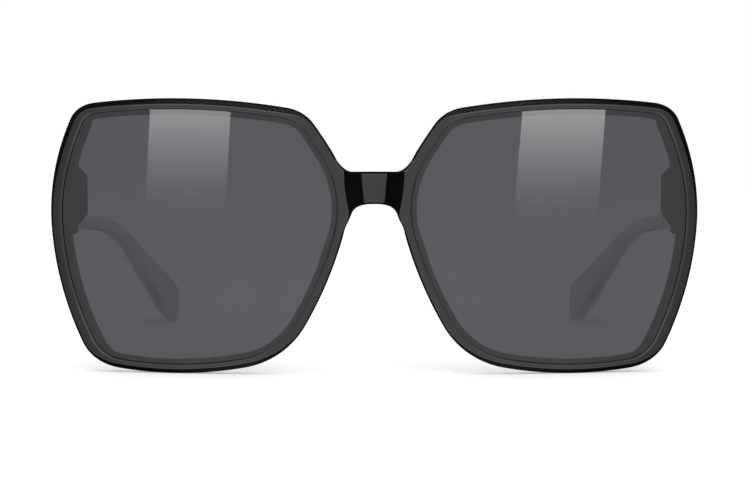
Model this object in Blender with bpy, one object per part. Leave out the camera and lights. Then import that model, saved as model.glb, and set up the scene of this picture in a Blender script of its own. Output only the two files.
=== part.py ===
"""Square sunglasses: a bowed moulded front, two tinted lenses, and two temples on screwed barrel hinges.

Metres, +Z up. The front faces -Y and the temples run back along +Y. The rims and the temple tips rest on
Z = 0, and the origin is under the middle of the whole part. Left and right are the wearer's: left is +X.
Shapes are drawn for the left side, with Y = 0 at the middle of the front, and mirrored by a side of -1.
"""

import math

import bmesh
import bpy
import numpy as np
from mathutils import Matrix

MM = 0.001

# Front: the lenses and the rims round them
LENS_WIDTH = 61.875 * MM
LENS_HEIGHT = 56.7 * MM
LENS_SPACING = 16.6 * MM
LENS_THICKNESS = 2.0 * MM
FRONT_BOW_RADIUS = 265.0 * MM
RIM_WIDTH = 2.5 * MM
RIM_DEPTH = 4.2 * MM
RIM_BEVEL = 1.25 * MM
RIM_BEVEL_DEPTH = 0.8 * MM
RIM_REAR_ROUND = 0.7 * MM
RIM_EDGE_BREAK = 0.15 * MM
FRONT_LIP = 0.5 * MM
REAR_LIP_REACH = 1.5 * MM
GROOVE_DEPTH = 0.8 * MM
LENS_FACE_FIT = 0.15 * MM
LENS_EDGE_FIT = 0.2 * MM
RIM_STATIONS = 108
LENS_SLICES = 14

# Each corner of the lens, from the top by the nose round by the temple: its place as shares of the lens
# width and height, how far its curve reaches along its sides, and for the side that follows it the bow,
# as shares of the lens height, then that side's rim and bevel widths, as shares of the named ones.
EYE_CORNER_SHARES = (
    (0.142, 0.955, 0.048, 0.032, 0.99, 1.00),
    (0.910, 0.979, 0.040, 0.003, 1.14, 0.80),
    (0.998, 0.739, 0.198, 0.056, 1.03, 0.25),
    (0.855, 0.028, 0.075, 0.041, 0.85, 0.65),
    (0.213, 0.055, 0.138, 0.037, 0.85, 0.30),
    (-0.021, 0.668, 0.168, 0.008, 1.02, 0.35),
)
SIDE_STEPS = 16
CORNER_STEPS = 16

# Bridge between the rims
BRIDGE_TOP = 45.0 * MM
BRIDGE_ARCH = 37.9 * MM
BRIDGE_ARCH_DROP = 4.7 * MM
BRIDGE_ARCH_FOOT = 8.0 * MM
BRIDGE_FILLET_RISE = 4.8 * MM
BRIDGE_FLAT_SHARE = 0.53
BRIDGE_FRONT_STEP = 0.15 * MM
BRIDGE_REAR_STEP = 0.3 * MM
BRIDGE_SCOOP = 2.6 * MM
BRIDGE_STRIP_HOLLOW = 0.25 * MM
BRIDGE_STRIP_SHARE = 0.31
BRIDGE_FLUSH_SHARE = 0.74
BRIDGE_REAR_SWELL = 2.0 * MM
BRIDGE_CHAMFER = 0.7 * MM
BRIDGE_ROOT = 0.4 * MM
BRIDGE_STATIONS = 19
BRIDGE_LEVELS = 8

# Nose pads behind the rims
PAD_LENGTH = 17.0 * MM
PAD_HEIGHT = 28.0 * MM
PAD_WIDTH = 3.2 * MM
PAD_REACH = 5.0 * MM
PAD_FLARE = 0.9 * MM
PAD_SET_IN = 0.5 * MM
PAD_TIP_SHARE = 0.22
PAD_STATIONS = 11
PAD_ARC_STEPS = 8

# End pieces, which carry the hinges behind the rims
ENDPIECE_INSET = 1.025 * MM
ENDPIECE_THICKNESS = 5.8 * MM
ENDPIECE_BOTTOM = 31.2 * MM
ENDPIECE_HEIGHT = 14.8 * MM
ENDPIECE_REAR = 21.0 * MM
ENDPIECE_TOP_CHAMFER = 1.8 * MM
ENDPIECE_BOTTOM_CHAMFER = 3.7 * MM
ENDPIECE_EDGE = 0.6 * MM
ENDPIECE_ROOT = 0.45 * MM

# Hinges: two front knuckles and one temple knuckle on a vertical screw
HINGE_CENTRE = 39.6 * MM
KNUCKLE_RADIUS = 1.4 * MM
KNUCKLE_HEIGHT = 1.65 * MM
KNUCKLE_GAP = 0.2 * MM
KNUCKLE_STEPS = 18
KNUCKLE_ROOM = 0.4 * MM
LEAF_THICKNESS = 0.9 * MM
LEAF_LENGTH = 3.6 * MM
LEAF_FIT = 0.2 * MM
LEAF_STAND_OFF = 0.1 * MM
FRONT_LEAF_INSET = 0.8 * MM
JOINT_GAP = 0.3 * MM

# Screws
PIVOT_RADIUS = 0.6 * MM
PIVOT_HEAD_RADIUS = 1.0 * MM
PIVOT_HEAD_HEIGHT = 0.45 * MM
MOUNT_SCREW_RADIUS = 0.45 * MM
MOUNT_HEAD_RADIUS = 0.85 * MM
MOUNT_HEAD_HEIGHT = 0.4 * MM
MOUNT_SCREW_LENGTH = 2.5 * MM
MOUNT_SCREW_SPACING = 2.9 * MM
SCREW_FIT = 0.2 * MM
SCREW_SLOT_WIDTH = 0.25 * MM
SCREW_SLOT_DEPTH = 0.2 * MM
SCREW_STEPS = 14

# Temples
TEMPLE_REACH = 117.6 * MM
TEMPLE_ROOT_HEIGHT = 15.0 * MM
TEMPLE_ROOT_CENTRE = 37.7 * MM
TEMPLE_THICKNESS = 3.8 * MM
TEMPLE_TIP_WIDTH = 11.7 * MM
TEMPLE_TOE_IN = 12.3 * MM
TEMPLE_EDGE = 0.75 * MM
TEMPLE_STEPS = 2
TIP_STEPS = 4

# Down the temple: the distance behind its root as a share of its reach, how far its middle has sunk from
# the root's height to the tip's, its height as a share of the root's, and how far it has turned in and
# its thickness, as shares of the named ones.
TEMPLE_SHARES = (
    (0.000, 0.000, 1.000, 0.000, 1.00),
    (0.026, 0.002, 0.993, 0.000, 1.00),
    (0.048, 0.018, 0.883, 0.000, 1.00),
    (0.065, 0.046, 0.713, 0.004, 0.97),
    (0.082, 0.085, 0.470, 0.010, 0.91),
    (0.101, 0.110, 0.300, 0.018, 0.86),
    (0.127, 0.134, 0.250, 0.031, 0.82),
    (0.180, 0.166, 0.250, 0.057, 0.79),
    (0.266, 0.194, 0.267, 0.101, 0.79),
    (0.370, 0.222, 0.267, 0.153, 0.79),
    (0.474, 0.262, 0.275, 0.204, 0.79),
    (0.578, 0.326, 0.286, 0.256, 0.80),
    (0.665, 0.397, 0.304, 0.314, 0.81),
    (0.743, 0.493, 0.364, 0.397, 0.82),
    (0.813, 0.617, 0.462, 0.513, 0.84),
    (0.873, 0.733, 0.599, 0.639, 0.85),
    (0.934, 0.871, 0.743, 0.810, 0.85),
    (1.000, 1.000, 0.780, 1.000, 0.82),
)
TEMPLE_LEAN_START_SHARE = 0.30
TEMPLE_LEAN_END_SHARE = 0.75

# Wire that stiffens each temple
WIRE_RADIUS = 0.6 * MM
WIRE_FIT = 0.2 * MM
WIRE_ROOT_DROP = 4.1 * MM
WIRE_DROP_END_SHARE = 0.127
WIRE_END_SHARE = 0.93
WIRE_SETBACK = 0.5 * MM
WIRE_STATIONS = 22
WIRE_SIDES = 8

CUT_OVERRUN = 2.0 * MM

# Places worked out from the sizes above
ENDPIECE_OUTER = LENS_SPACING / 2 + LENS_WIDTH + RIM_WIDTH - ENDPIECE_INSET
GROOVE_REAR = FRONT_LIP + LENS_THICKNESS + 2 * LENS_FACE_FIT
HINGE_HEIGHT = 3 * KNUCKLE_HEIGHT + 2 * KNUCKLE_GAP
ENDPIECE_INNER = ENDPIECE_OUTER - ENDPIECE_THICKNESS
FRONT_LEAF_FACE = ENDPIECE_INNER + FRONT_LEAF_INSET
TEMPLE_INNER = ENDPIECE_OUTER - TEMPLE_THICKNESS
TEMPLE_ROOT = ENDPIECE_REAR + JOINT_GAP
AXIS_X = TEMPLE_INNER - LEAF_STAND_OFF
AXIS_Y = ENDPIECE_REAR + JOINT_GAP / 2
KNUCKLE_REACH = KNUCKLE_RADIUS + KNUCKLE_ROOM
TIP_RADIUS = TEMPLE_TIP_WIDTH / 2
WHOLE_DEPTH = TEMPLE_ROOT + TEMPLE_REACH + TIP_RADIUS


def clear_scene():
    for obj in list(bpy.data.objects):
        bpy.data.objects.remove(obj, do_unlink=True)


def make_material(name, color, roughness, metallic=0.0, transmission=0.0):
    material = bpy.data.materials.new(name)
    material.use_nodes = True
    shader = material.node_tree.nodes["Principled BSDF"]
    shader.inputs["Base Color"].default_value = (*color, 1.0)
    shader.inputs["Roughness"].default_value = roughness
    shader.inputs["Metallic"].default_value = metallic
    shader.inputs["Transmission Weight"].default_value = transmission
    material.diffuse_color = (*color, 1.0)
    return material


def add_empty(name, place, parent=None):
    empty = bpy.data.objects.new(name, None)
    bpy.context.scene.collection.objects.link(empty)
    empty.location = place
    empty.parent = parent
    return empty


def add_object(name, bm, material, parent):
    """Makes an object of a bmesh drawn in the front's frame, whatever empty carries it."""
    bmesh.ops.recalc_face_normals(bm, faces=bm.faces)
    mesh = bpy.data.meshes.new(name)
    bm.to_mesh(mesh)
    bm.free()
    mesh.shade_smooth()
    mesh.set_sharp_from_angle(angle=math.radians(35))
    if material:
        mesh.materials.append(material)
    obj = bpy.data.objects.new(name, mesh)
    bpy.context.scene.collection.objects.link(obj)
    obj.parent = parent
    if parent.parent:
        obj.location = -parent.location
    return obj


def combine(target, tool, operation):
    """Joins a helper shape to a piece, or cuts it out of the piece, and keeps the helper out of the part."""
    modifier = target.modifiers.new(tool.name, "BOOLEAN")
    modifier.operation = operation
    modifier.solver = "EXACT"
    modifier.object = tool
    tool.hide_render = True
    tool.display_type = "WIRE"


def close_end(bm, row):
    """Fills a ring with strips from one half of it to the other, which follow a bent ring too."""
    low, high = 0, len(row) - 1
    while high - low > 1:
        bm.faces.new(dict.fromkeys((row[low], row[low + 1], row[high - 1], row[high])))
        low += 1
        high -= 1


def loft(rings, ring_of_rings=False):
    """A closed shell through rings of points. It ends in two caps, or runs round to its own start."""
    bm = bmesh.new()
    rows = [[bm.verts.new(point) for point in ring] for ring in rings]
    pairs = list(zip(rows, rows[1:]))
    if ring_of_rings:
        pairs.append((rows[-1], rows[0]))
    for low, high in pairs:
        for here, there in zip(range(len(low)), [*range(1, len(low)), 0]):
            bm.faces.new((low[here], low[there], high[there], high[here]))
    if not ring_of_rings:
        close_end(bm, rows[0])
        close_end(bm, rows[-1])
    return bm


def box(low, high):
    corners = [(low[0], low[1]), (high[0], low[1]), (high[0], high[1]), (low[0], high[1])]
    return loft([[(x, y, z) for x, y in corners] for z in (low[2], high[2])])


def smooth_step(share):
    share = np.clip(share, 0.0, 1.0)
    return share * share * (3 - 2 * share)


def bow(x):
    """How far back the bowed front lies at this distance from its middle."""
    return x * x / (2 * FRONT_BOW_RADIUS)


def eye_outline():
    """The lens line of the left eye, seen from the front: rows of x, z, the rim's width and its bevel."""
    table = np.array(EYE_CORNER_SHARES)
    corners = np.column_stack([LENS_SPACING / 2 + table[:, 0] * LENS_WIDTH, table[:, 1] * LENS_HEIGHT])
    reaches = table[:, 2] * LENS_HEIGHT
    bows = table[:, 3] * LENS_HEIGHT
    rims = table[:, 4:6] * (RIM_WIDTH, RIM_BEVEL)
    count = len(corners)

    def side_point(index, share):
        start = corners[index]
        run = corners[(index + 1) % count] - start
        length = math.hypot(*run)
        outward = np.array([-run[1], run[0]]) / length
        point = start + run * share + outward * 4 * bows[index] * share * (1 - share)
        heading = run + outward * 4 * bows[index] * (1 - 2 * share)
        return point, heading / math.hypot(*heading)

    def side_length(index):
        return math.hypot(*(corners[(index + 1) % count] - corners[index]))

    rows = []
    for index in range(count):
        before = (index - 1) % count
        start, start_heading = side_point(before, 1 - reaches[index] / side_length(before))
        end, end_heading = side_point(index, reaches[index] / side_length(index))
        turn = start_heading[0] * end_heading[1] - start_heading[1] * end_heading[0]
        angle = math.atan2(turn, float(start_heading @ end_heading))
        gap = end - start
        meeting = start + start_heading * (gap[0] * end_heading[1] - gap[1] * end_heading[0]) / turn
        pull = 4 / 3 * math.tan(angle / 4) / math.tan(angle / 2)
        handles = (start, start + (meeting - start) * pull, end + (meeting - end) * pull, end)
        for share in np.arange(CORNER_STEPS) / CORNER_STEPS:
            rest = 1 - share
            weights = (rest**3, 3 * rest**2 * share, 3 * rest * share**2, share**3)
            point = sum(weight * handle for weight, handle in zip(weights, handles))
            rim = rims[before] + (rims[index] - rims[before]) * smooth_step(share)
            rows.append((*point, *rim))
        after = (index + 1) % count
        first = reaches[index] / side_length(index)
        last = 1 - reaches[after] / side_length(index)
        for share in first + (last - first) * np.arange(SIDE_STEPS) / SIDE_STEPS:
            rows.append((*side_point(index, share)[0], *rims[index]))
    rows = np.array(rows)
    closed = np.vstack([rows, rows[:1]])
    along = np.concatenate([[0], np.cumsum(np.hypot(*np.diff(closed[:, :2], axis=0).T))])
    places = along[-1] * np.arange(RIM_STATIONS) / RIM_STATIONS
    return np.column_stack([np.interp(places, along, column) for column in closed.T])


def outward_of(outline):
    """The outward direction at each row of the outline, which runs clockwise as seen from the front."""
    run = np.roll(outline[:, :2], -1, axis=0) - np.roll(outline[:, :2], 1, axis=0)
    run /= np.hypot(*run.T)[:, None]
    return np.column_stack([-run[:, 1], run[:, 0]])


def seated_eye():
    """The eye outline raised so that the bottom of its rim rests on Z = 0, and its outward directions."""
    outline = eye_outline()
    outward = outward_of(outline)
    lowest = (outline[:, 1] + outward[:, 1] * outline[:, 2]).min()
    outline[:, 1] -= lowest
    return outline, outward


EYE, EYE_OUTWARD = seated_eye()


def eye_at(index, offset, depth, side):
    """The point at an offset outward from the lens line and a depth behind the rim's face."""
    x, z = EYE[index, :2] + EYE_OUTWARD[index] * offset
    return side * x, depth + bow(x), z


def nose_side(offset):
    """A function giving how far from the middle plane the nose side of the eye lies at each height."""
    points = EYE[:, :2] + EYE_OUTWARD * offset
    beside = points[EYE_OUTWARD[:, 0] < -0.4]
    beside = beside[np.argsort(beside[:, 1])]
    return lambda height: float(np.interp(height, beside[:, 1], beside[:, 0]))


def rim_section(width, bevel):
    """The rim's section as offsets from the lens line and depths: face, bevel, back, lip and lens groove."""
    return (
        (0, RIM_EDGE_BREAK),
        (RIM_EDGE_BREAK, 0),
        (width - bevel, 0),
        (width, RIM_BEVEL_DEPTH * bevel / RIM_BEVEL),
        (width, RIM_DEPTH - RIM_REAR_ROUND),
        (width - RIM_REAR_ROUND, RIM_DEPTH),
        (RIM_REAR_ROUND / 2 - REAR_LIP_REACH, RIM_DEPTH),
        (-REAR_LIP_REACH, RIM_DEPTH - RIM_REAR_ROUND / 2),
        (-REAR_LIP_REACH, GROOVE_REAR),
        (GROOVE_DEPTH, GROOVE_REAR),
        (GROOVE_DEPTH, FRONT_LIP),
        (0, FRONT_LIP),
    )


def rim(side):
    rings = []
    for index, (width, bevel) in enumerate(EYE[:, 2:4]):
        rings.append([eye_at(index, *place, side) for place in rim_section(width, bevel)])
    return loft(rings, ring_of_rings=True)


def bridge():
    """The bridge, drawn across the nose: flat on top, arched below, sunk in front to a strip between two
    flanks, and swelling behind."""
    root = nose_side(GROOVE_DEPTH + BRIDGE_ROOT)
    rings = []
    for share in np.linspace(-1, 1, BRIDGE_STATIONS):
        beyond = max(abs(share) - BRIDGE_FLAT_SHARE, 0) / (1 - BRIDGE_FLAT_SHARE)
        top = BRIDGE_TOP + BRIDGE_FILLET_RISE * beyond**2
        bottom = BRIDGE_ARCH - BRIDGE_ARCH_DROP * abs(share) ** 3 - BRIDGE_ARCH_FOOT * share**8
        inward = (BRIDGE_FLUSH_SHARE - abs(share)) / (BRIDGE_FLUSH_SHARE - BRIDGE_STRIP_SHARE)
        hollow = max(1 - (share / BRIDGE_STRIP_SHARE) ** 2, 0)
        face = BRIDGE_FRONT_STEP + BRIDGE_SCOOP * float(np.clip(inward, 0, 1)) + BRIDGE_STRIP_HOLLOW * hollow
        rear = RIM_DEPTH - BRIDGE_REAR_STEP + BRIDGE_REAR_SWELL * (1 - share**2)
        inset = BRIDGE_CHAMFER
        levels = np.linspace(bottom + inset, top - inset, BRIDGE_LEVELS)
        section = (
            (face + inset, bottom),
            *((face, height) for height in levels),
            (face + inset, top),
            (rear - inset, top),
            *((rear, height) for height in levels[::-1]),
            (rear - inset, bottom),
        )
        places = [(share * root(height), depth, height) for depth, height in section]
        rings.append([(x, depth + bow(x), height) for x, depth, height in places])
    return loft(rings)


def end_piece(side):
    """The block behind a rim: square outside, with its inner corners cut back."""
    top = ENDPIECE_BOTTOM + ENDPIECE_HEIGHT
    section = (
        (ENDPIECE_OUTER - ENDPIECE_EDGE, ENDPIECE_BOTTOM),
        (ENDPIECE_OUTER, ENDPIECE_BOTTOM + ENDPIECE_EDGE),
        (ENDPIECE_OUTER, top - ENDPIECE_EDGE),
        (ENDPIECE_OUTER - ENDPIECE_EDGE, top),
        (ENDPIECE_INNER + ENDPIECE_TOP_CHAMFER, top),
        (ENDPIECE_INNER, top - ENDPIECE_TOP_CHAMFER),
        (ENDPIECE_INNER, ENDPIECE_BOTTOM + ENDPIECE_BOTTOM_CHAMFER),
        (ENDPIECE_INNER + ENDPIECE_BOTTOM_CHAMFER, ENDPIECE_BOTTOM),
    )
    root = [(side * x, bow(x) + GROOVE_REAR + ENDPIECE_ROOT, z) for x, z in section]
    rear = [(side * x, ENDPIECE_REAR, z) for x, z in section]
    return loft([root, rear])


def lens(side):
    """A plate cut to sit in the rim's groove, bowed with the front."""
    edge = GROOVE_DEPTH - LENS_EDGE_FIT
    outline = EYE[:, :2] + EYE_OUTWARD * edge
    bm = bmesh.new()
    bm.faces.new([bm.verts.new((side * x, FRONT_LIP + LENS_FACE_FIT, z)) for x, z in outline])
    inner, outer = outline[:, 0].min(), outline[:, 0].max()
    for share in np.arange(1, LENS_SLICES) / LENS_SLICES:
        everything = [*bm.verts, *bm.edges, *bm.faces]
        place = (side * (inner + (outer - inner) * share), 0, 0)
        bmesh.ops.bisect_plane(bm, geom=everything, plane_co=place, plane_no=(1, 0, 0))
    made = bmesh.ops.extrude_face_region(bm, geom=list(bm.faces))["geom"]
    rear = [item for item in made if isinstance(item, bmesh.types.BMVert)]
    bmesh.ops.translate(bm, verts=rear, vec=(0, LENS_THICKNESS, 0))
    for vert in bm.verts:
        vert.co.y += bow(vert.co.x)
    return bm


def nose_pad(side):
    """A pad that swells back from the rim beside the nose and flares to suit it."""
    across = nose_side(0)
    rings = []
    for share in np.linspace(-1, 1, PAD_STATIONS):
        swell = math.sqrt(max(1 - share * share, PAD_TIP_SHARE**2))
        height = PAD_HEIGHT + PAD_LENGTH / 2 * share
        middle = across(height) - PAD_SET_IN
        ring = []
        for angle in np.linspace(0, math.pi, PAD_ARC_STEPS + 1):
            reach = math.sin(angle) * swell
            x = middle - PAD_WIDTH / 2 * math.cos(angle) * swell + PAD_FLARE * reach
            ring.append((side * x, RIM_DEPTH + LENS_EDGE_FIT + bow(x) + PAD_REACH * reach, height))
        rings.append(ring)
    return loft(rings)


def turned(profile, steps):
    """A solid turned about Z from rows of radius and height, listed from the bottom up."""
    angles = np.arange(steps) * math.tau / steps
    return loft([[(r * math.cos(a), r * math.sin(a), z) for a in angles] for r, z in profile])


def screw(radius, head_radius, head_height, length, room=0.0):
    """A countersunk screw whose head's top is at Z = 0, or the hole for it where there is room round it."""
    end = -length - room
    cone_end = -head_height - room
    profile = [(radius + room, end), (radius + room, cone_end), (head_radius + room, 0)]
    if room:
        profile.append((head_radius + room, CUT_OVERRUN))
    return turned(profile, SCREW_STEPS)


def slotted(bm, name, head_radius, material, parent):
    """Places the screw's object, with a driver slot cut across its head."""
    obj = add_object(name, bm, material, parent)
    slot_low = (-SCREW_SLOT_WIDTH / 2, -head_radius - CUT_OVERRUN, -SCREW_SLOT_DEPTH)
    slot_high = (SCREW_SLOT_WIDTH / 2, head_radius + CUT_OVERRUN, CUT_OVERRUN)
    slot = add_object(name + "_slot", box(slot_low, slot_high), None, parent)
    combine(obj, slot, "DIFFERENCE")
    return obj, slot


def knuckle_outline(strip_low, strip_high, direction):
    """A knuckle seen along the screw: a circle with a strip running off to its leaf along Y."""
    reach = direction * (KNUCKLE_REACH + LEAF_THICKNESS)
    start = math.asin(strip_low / KNUCKLE_RADIUS)
    end = math.asin(strip_high / KNUCKLE_RADIUS)
    turns = np.linspace(start, end - math.tau, KNUCKLE_STEPS)
    arc = [(KNUCKLE_RADIUS * math.sin(a), direction * KNUCKLE_RADIUS * math.cos(a)) for a in turns]
    return [(strip_low, reach), *arc, (strip_high, reach)]


def hinge_leaf(name, side, knuckles, strip_low, direction, material, parent):
    """A leaf: a plate on the end piece or temple, with knuckles on strips that run from it to the axis."""
    strip_high = strip_low + LEAF_THICKNESS
    bottom = HINGE_CENTRE - HINGE_HEIGHT / 2
    near = AXIS_Y + direction * KNUCKLE_REACH
    far = near + direction * LEAF_LENGTH
    low = (AXIS_X + strip_low, min(near, far), bottom)
    high = (AXIS_X + strip_high, max(near, far), bottom + HINGE_HEIGHT)
    plate = box(low, high)
    bmesh.ops.scale(plate, vec=(side, 1, 1), verts=plate.verts)
    leaf = add_object(name, plate, material, parent)
    outline = knuckle_outline(strip_low, strip_high, direction)
    for index in knuckles:
        start = bottom + index * (KNUCKLE_HEIGHT + KNUCKLE_GAP)
        heights = (start, start + KNUCKLE_HEIGHT)
        rings = [[(side * (AXIS_X + x), AXIS_Y + y, z) for x, y in outline] for z in heights]
        knuckle = add_object(f"{name}_knuckle_{index}", loft(rings), None, parent)
        combine(leaf, knuckle, "UNION")
    return leaf


def pivot_placing(side):
    top = HINGE_CENTRE + HINGE_HEIGHT / 2
    return Matrix.Translation((side * AXIS_X, AXIS_Y, top))


def mount_screw_placings(side, direction, face):
    """Where the two screws of a leaf go: heads on the leaf's inner face, shanks pointing outward."""
    middle = AXIS_Y + direction * (KNUCKLE_REACH + LEAF_LENGTH / 2)
    heading = Matrix.Rotation(-side * math.pi / 2, 4, "Y")
    for step in (-1, 1):
        height = HINGE_CENTRE + step * MOUNT_SCREW_SPACING / 2
        yield Matrix.Translation((side * face, middle, height)) @ heading


def placed(bm, placing):
    bmesh.ops.transform(bm, matrix=placing, verts=bm.verts)
    return bm


def mount_screw(room=0.0):
    return screw(MOUNT_SCREW_RADIUS, MOUNT_HEAD_RADIUS, MOUNT_HEAD_HEIGHT, MOUNT_SCREW_LENGTH, room)


def pivot_screw(room=0.0):
    length = HINGE_HEIGHT + room
    return screw(PIVOT_RADIUS, PIVOT_HEAD_RADIUS, PIVOT_HEAD_HEIGHT, length, room)


def add_screw(name, bm, placing, head_radius, material, parent):
    obj, slot = slotted(bm, name, head_radius, material, parent)
    for piece in (obj, slot):
        piece.data.transform(placing)


def cut_hinge_seat(piece, name, side, direction, face, parent):
    """Cuts the notch for the knuckles, the recess for the leaf and the holes for the leaf's screws."""
    bottom = HINGE_CENTRE - HINGE_HEIGHT / 2 - LEAF_FIT
    top = HINGE_CENTRE + HINGE_HEIGHT / 2 + LEAF_FIT
    inside = face - CUT_OVERRUN
    near = AXIS_Y - direction * CUT_OVERRUN
    notch_end = AXIS_Y + direction * KNUCKLE_REACH
    recess_end = notch_end + direction * (LEAF_LENGTH + LEAF_FIT)
    notch_deep = AXIS_X + KNUCKLE_REACH
    recess_deep = face + LEAF_THICKNESS + LEAF_FIT
    spans = (("notch", near, notch_end, notch_deep), ("recess", near, recess_end, recess_deep))
    for label, start, end, deep in spans:
        low = (inside, min(start, end), bottom)
        high = (deep, max(start, end), top)
        bm = box(low, high)
        bmesh.ops.scale(bm, vec=(side, 1, 1), verts=bm.verts)
        combine(piece, add_object(f"{name}_{label}", bm, None, parent), "DIFFERENCE")
    for index, placing in enumerate(mount_screw_placings(side, direction, face)):
        hole = add_object(f"{name}_hole_{index}", placed(mount_screw(SCREW_FIT), placing), None, parent)
        combine(piece, hole, "DIFFERENCE")


def fit_hinge(side, label, body, knuckles, strip_low, direction, face, material, parent):
    """Makes one leaf of a hinge with its two screws."""
    leaf = hinge_leaf(f"{label}_{body}_hinge", side, knuckles, strip_low, direction, material, parent)
    bore = placed(pivot_screw(SCREW_FIT), pivot_placing(side))
    combine(leaf, add_object(f"{leaf.name}_bore", bore, None, parent), "DIFFERENCE")
    levels = ("lower", "upper")
    for level, placing in zip(levels, mount_screw_placings(side, direction, face)):
        name = f"{label}_{body}_hinge_{level}_screw"
        hole = add_object(f"{name}_hole", placed(mount_screw(SCREW_FIT), placing), None, parent)
        combine(leaf, hole, "DIFFERENCE")
        add_screw(name, mount_screw(), placing, MOUNT_HEAD_RADIUS, material, parent)


def curve_through(rows, steps):
    """Rows of numbers joined by a smooth curve through each row, with this many steps between rows."""
    rows = np.array(rows)
    slopes = np.gradient(rows, rows[:, 0], axis=0)
    found = []
    for index in range(len(rows) - 1):
        run = rows[index + 1, 0] - rows[index, 0]
        for share in np.arange(steps) / steps:
            rest = 1 - share
            start = (1 + 2 * share) * rest**2 * rows[index] + share * rest**2 * run * slopes[index]
            end_weight = share**2 * (3 - 2 * share)
            end = end_weight * rows[index + 1] - share**2 * rest * run * slopes[index + 1]
            found.append(start + end)
    found.append(rows[-1])
    return np.array(found)


def temple_line():
    """Down the temple: rows of y, its middle's height, its own height, its middle's x and its thickness."""
    shares = curve_through(TEMPLE_SHARES, TEMPLE_STEPS)
    sink = TEMPLE_ROOT_CENTRE - TIP_RADIUS
    return np.column_stack(
        [
            TEMPLE_ROOT + shares[:, 0] * TEMPLE_REACH,
            TEMPLE_ROOT_CENTRE - shares[:, 1] * sink,
            shares[:, 2] * TEMPLE_ROOT_HEIGHT,
            ENDPIECE_OUTER - shares[:, 4] * TEMPLE_THICKNESS / 2 - shares[:, 3] * TEMPLE_TOE_IN,
            shares[:, 4] * TEMPLE_THICKNESS,
        ]
    )


def temple_headings(line):
    """The direction of each section's height in the Y-Z plane, upright at the root and square at the tip."""
    slopes = np.arctan(np.gradient(line[:, 1], line[:, 0]))
    shares = (line[:, 0] - TEMPLE_ROOT) / TEMPLE_REACH
    lean_run = TEMPLE_LEAN_END_SHARE - TEMPLE_LEAN_START_SHARE
    lean = slopes * smooth_step((shares - TEMPLE_LEAN_START_SHARE) / lean_run)
    return np.column_stack([-np.sin(lean), np.cos(lean)])


def temple_section(side, row, up, height, thickness):
    """A rectangle with cut corners, square to the temple's run."""
    edge = min(TEMPLE_EDGE, height / 3, thickness / 3)
    half_height, half_thickness = height / 2, thickness / 2
    corners = (
        (half_thickness - edge, -half_height),
        (half_thickness, edge - half_height),
        (half_thickness, half_height - edge),
        (half_thickness - edge, half_height),
        (edge - half_thickness, half_height),
        (-half_thickness, half_height - edge),
        (-half_thickness, edge - half_height),
        (edge - half_thickness, -half_height),
    )
    y, z, _, x, _ = row
    return [(side * (x + across), y + up[0] * rise, z + up[1] * rise) for across, rise in corners]


def temple(side):
    line = temple_line()
    ups = temple_headings(line)
    rings = [temple_section(side, row, up, row[2], row[4]) for row, up in zip(line, ups)]
    last, up = line[-1], ups[-1]
    inward = (line[-1, 3] - line[-2, 3]) / (line[-1, 0] - line[-2, 0])
    for angle in np.linspace(0, math.pi / 2, TIP_STEPS + 2)[1:-1]:
        ahead = TIP_RADIUS * math.sin(angle)
        row = last.copy()
        row[0] += ahead * up[1]
        row[1] -= ahead * up[0]
        row[3] += ahead * up[1] * inward
        shrink = math.cos(angle)
        rings.append(temple_section(side, row, up, last[2] * shrink, last[4] * math.sqrt(shrink)))
    return loft(rings)


def wire_line():
    """The wire's route: low beside the hinge, then along the middle of the temple."""
    line = temple_line()
    end = TEMPLE_ROOT + WIRE_END_SHARE * TEMPLE_REACH
    places = np.linspace(TEMPLE_ROOT, end, WIRE_STATIONS)
    x = np.interp(places, line[:, 0], line[:, 3])
    z = np.interp(places, line[:, 0], line[:, 1])
    straight_end = WIRE_DROP_END_SHARE * TEMPLE_REACH
    start_height = TEMPLE_ROOT_CENTRE - WIRE_ROOT_DROP
    level = np.interp(TEMPLE_ROOT + straight_end, line[:, 0], line[:, 1])
    shares = np.clip((places - TEMPLE_ROOT) / straight_end, 0, 1)
    z = np.where(shares < 1, start_height + (level - start_height) * shares, z)
    return np.column_stack([x, places, z])


def tube(side, route, radius):
    """A round bar along a route that runs back through the temple."""
    slopes = np.arctan(np.gradient(route[:, 2], route[:, 1]))
    rings = []
    for (x, y, z), slope in zip(route, slopes):
        ring = []
        for angle in np.arange(WIRE_SIDES) * math.tau / WIRE_SIDES:
            across, rise = radius * math.cos(angle), radius * math.sin(angle)
            ring.append((side * (x + across), y - rise * math.sin(slope), z + rise * math.cos(slope)))
        rings.append(ring)
    return loft(rings)


def build_front(materials, base):
    plastic, tint, metal = materials
    front = add_object("front_frame", rim(1), plastic, base)
    shapes = {"right_rim": rim(-1), "bridge": bridge()}
    for label, side in (("left", 1), ("right", -1)):
        shapes[f"{label}_end_piece"] = end_piece(side)
    for name, bm in shapes.items():
        combine(front, add_object(name, bm, None, base), "UNION")
    strip_low = FRONT_LEAF_FACE - AXIS_X
    for label, side in (("left", 1), ("right", -1)):
        cut_hinge_seat(front, f"{label}_front", side, -1, FRONT_LEAF_FACE, base)
        fit_hinge(side, label, "front", (0, 2), strip_low, -1, FRONT_LEAF_FACE, metal, base)
        add_object(f"{label}_lens", lens(side), tint, base)
        add_object(f"{label}_nose_pad", nose_pad(side), plastic, base)
        pivot_name = f"{label}_hinge_screw"
        add_screw(pivot_name, pivot_screw(), pivot_placing(side), PIVOT_HEAD_RADIUS, metal, base)


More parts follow.
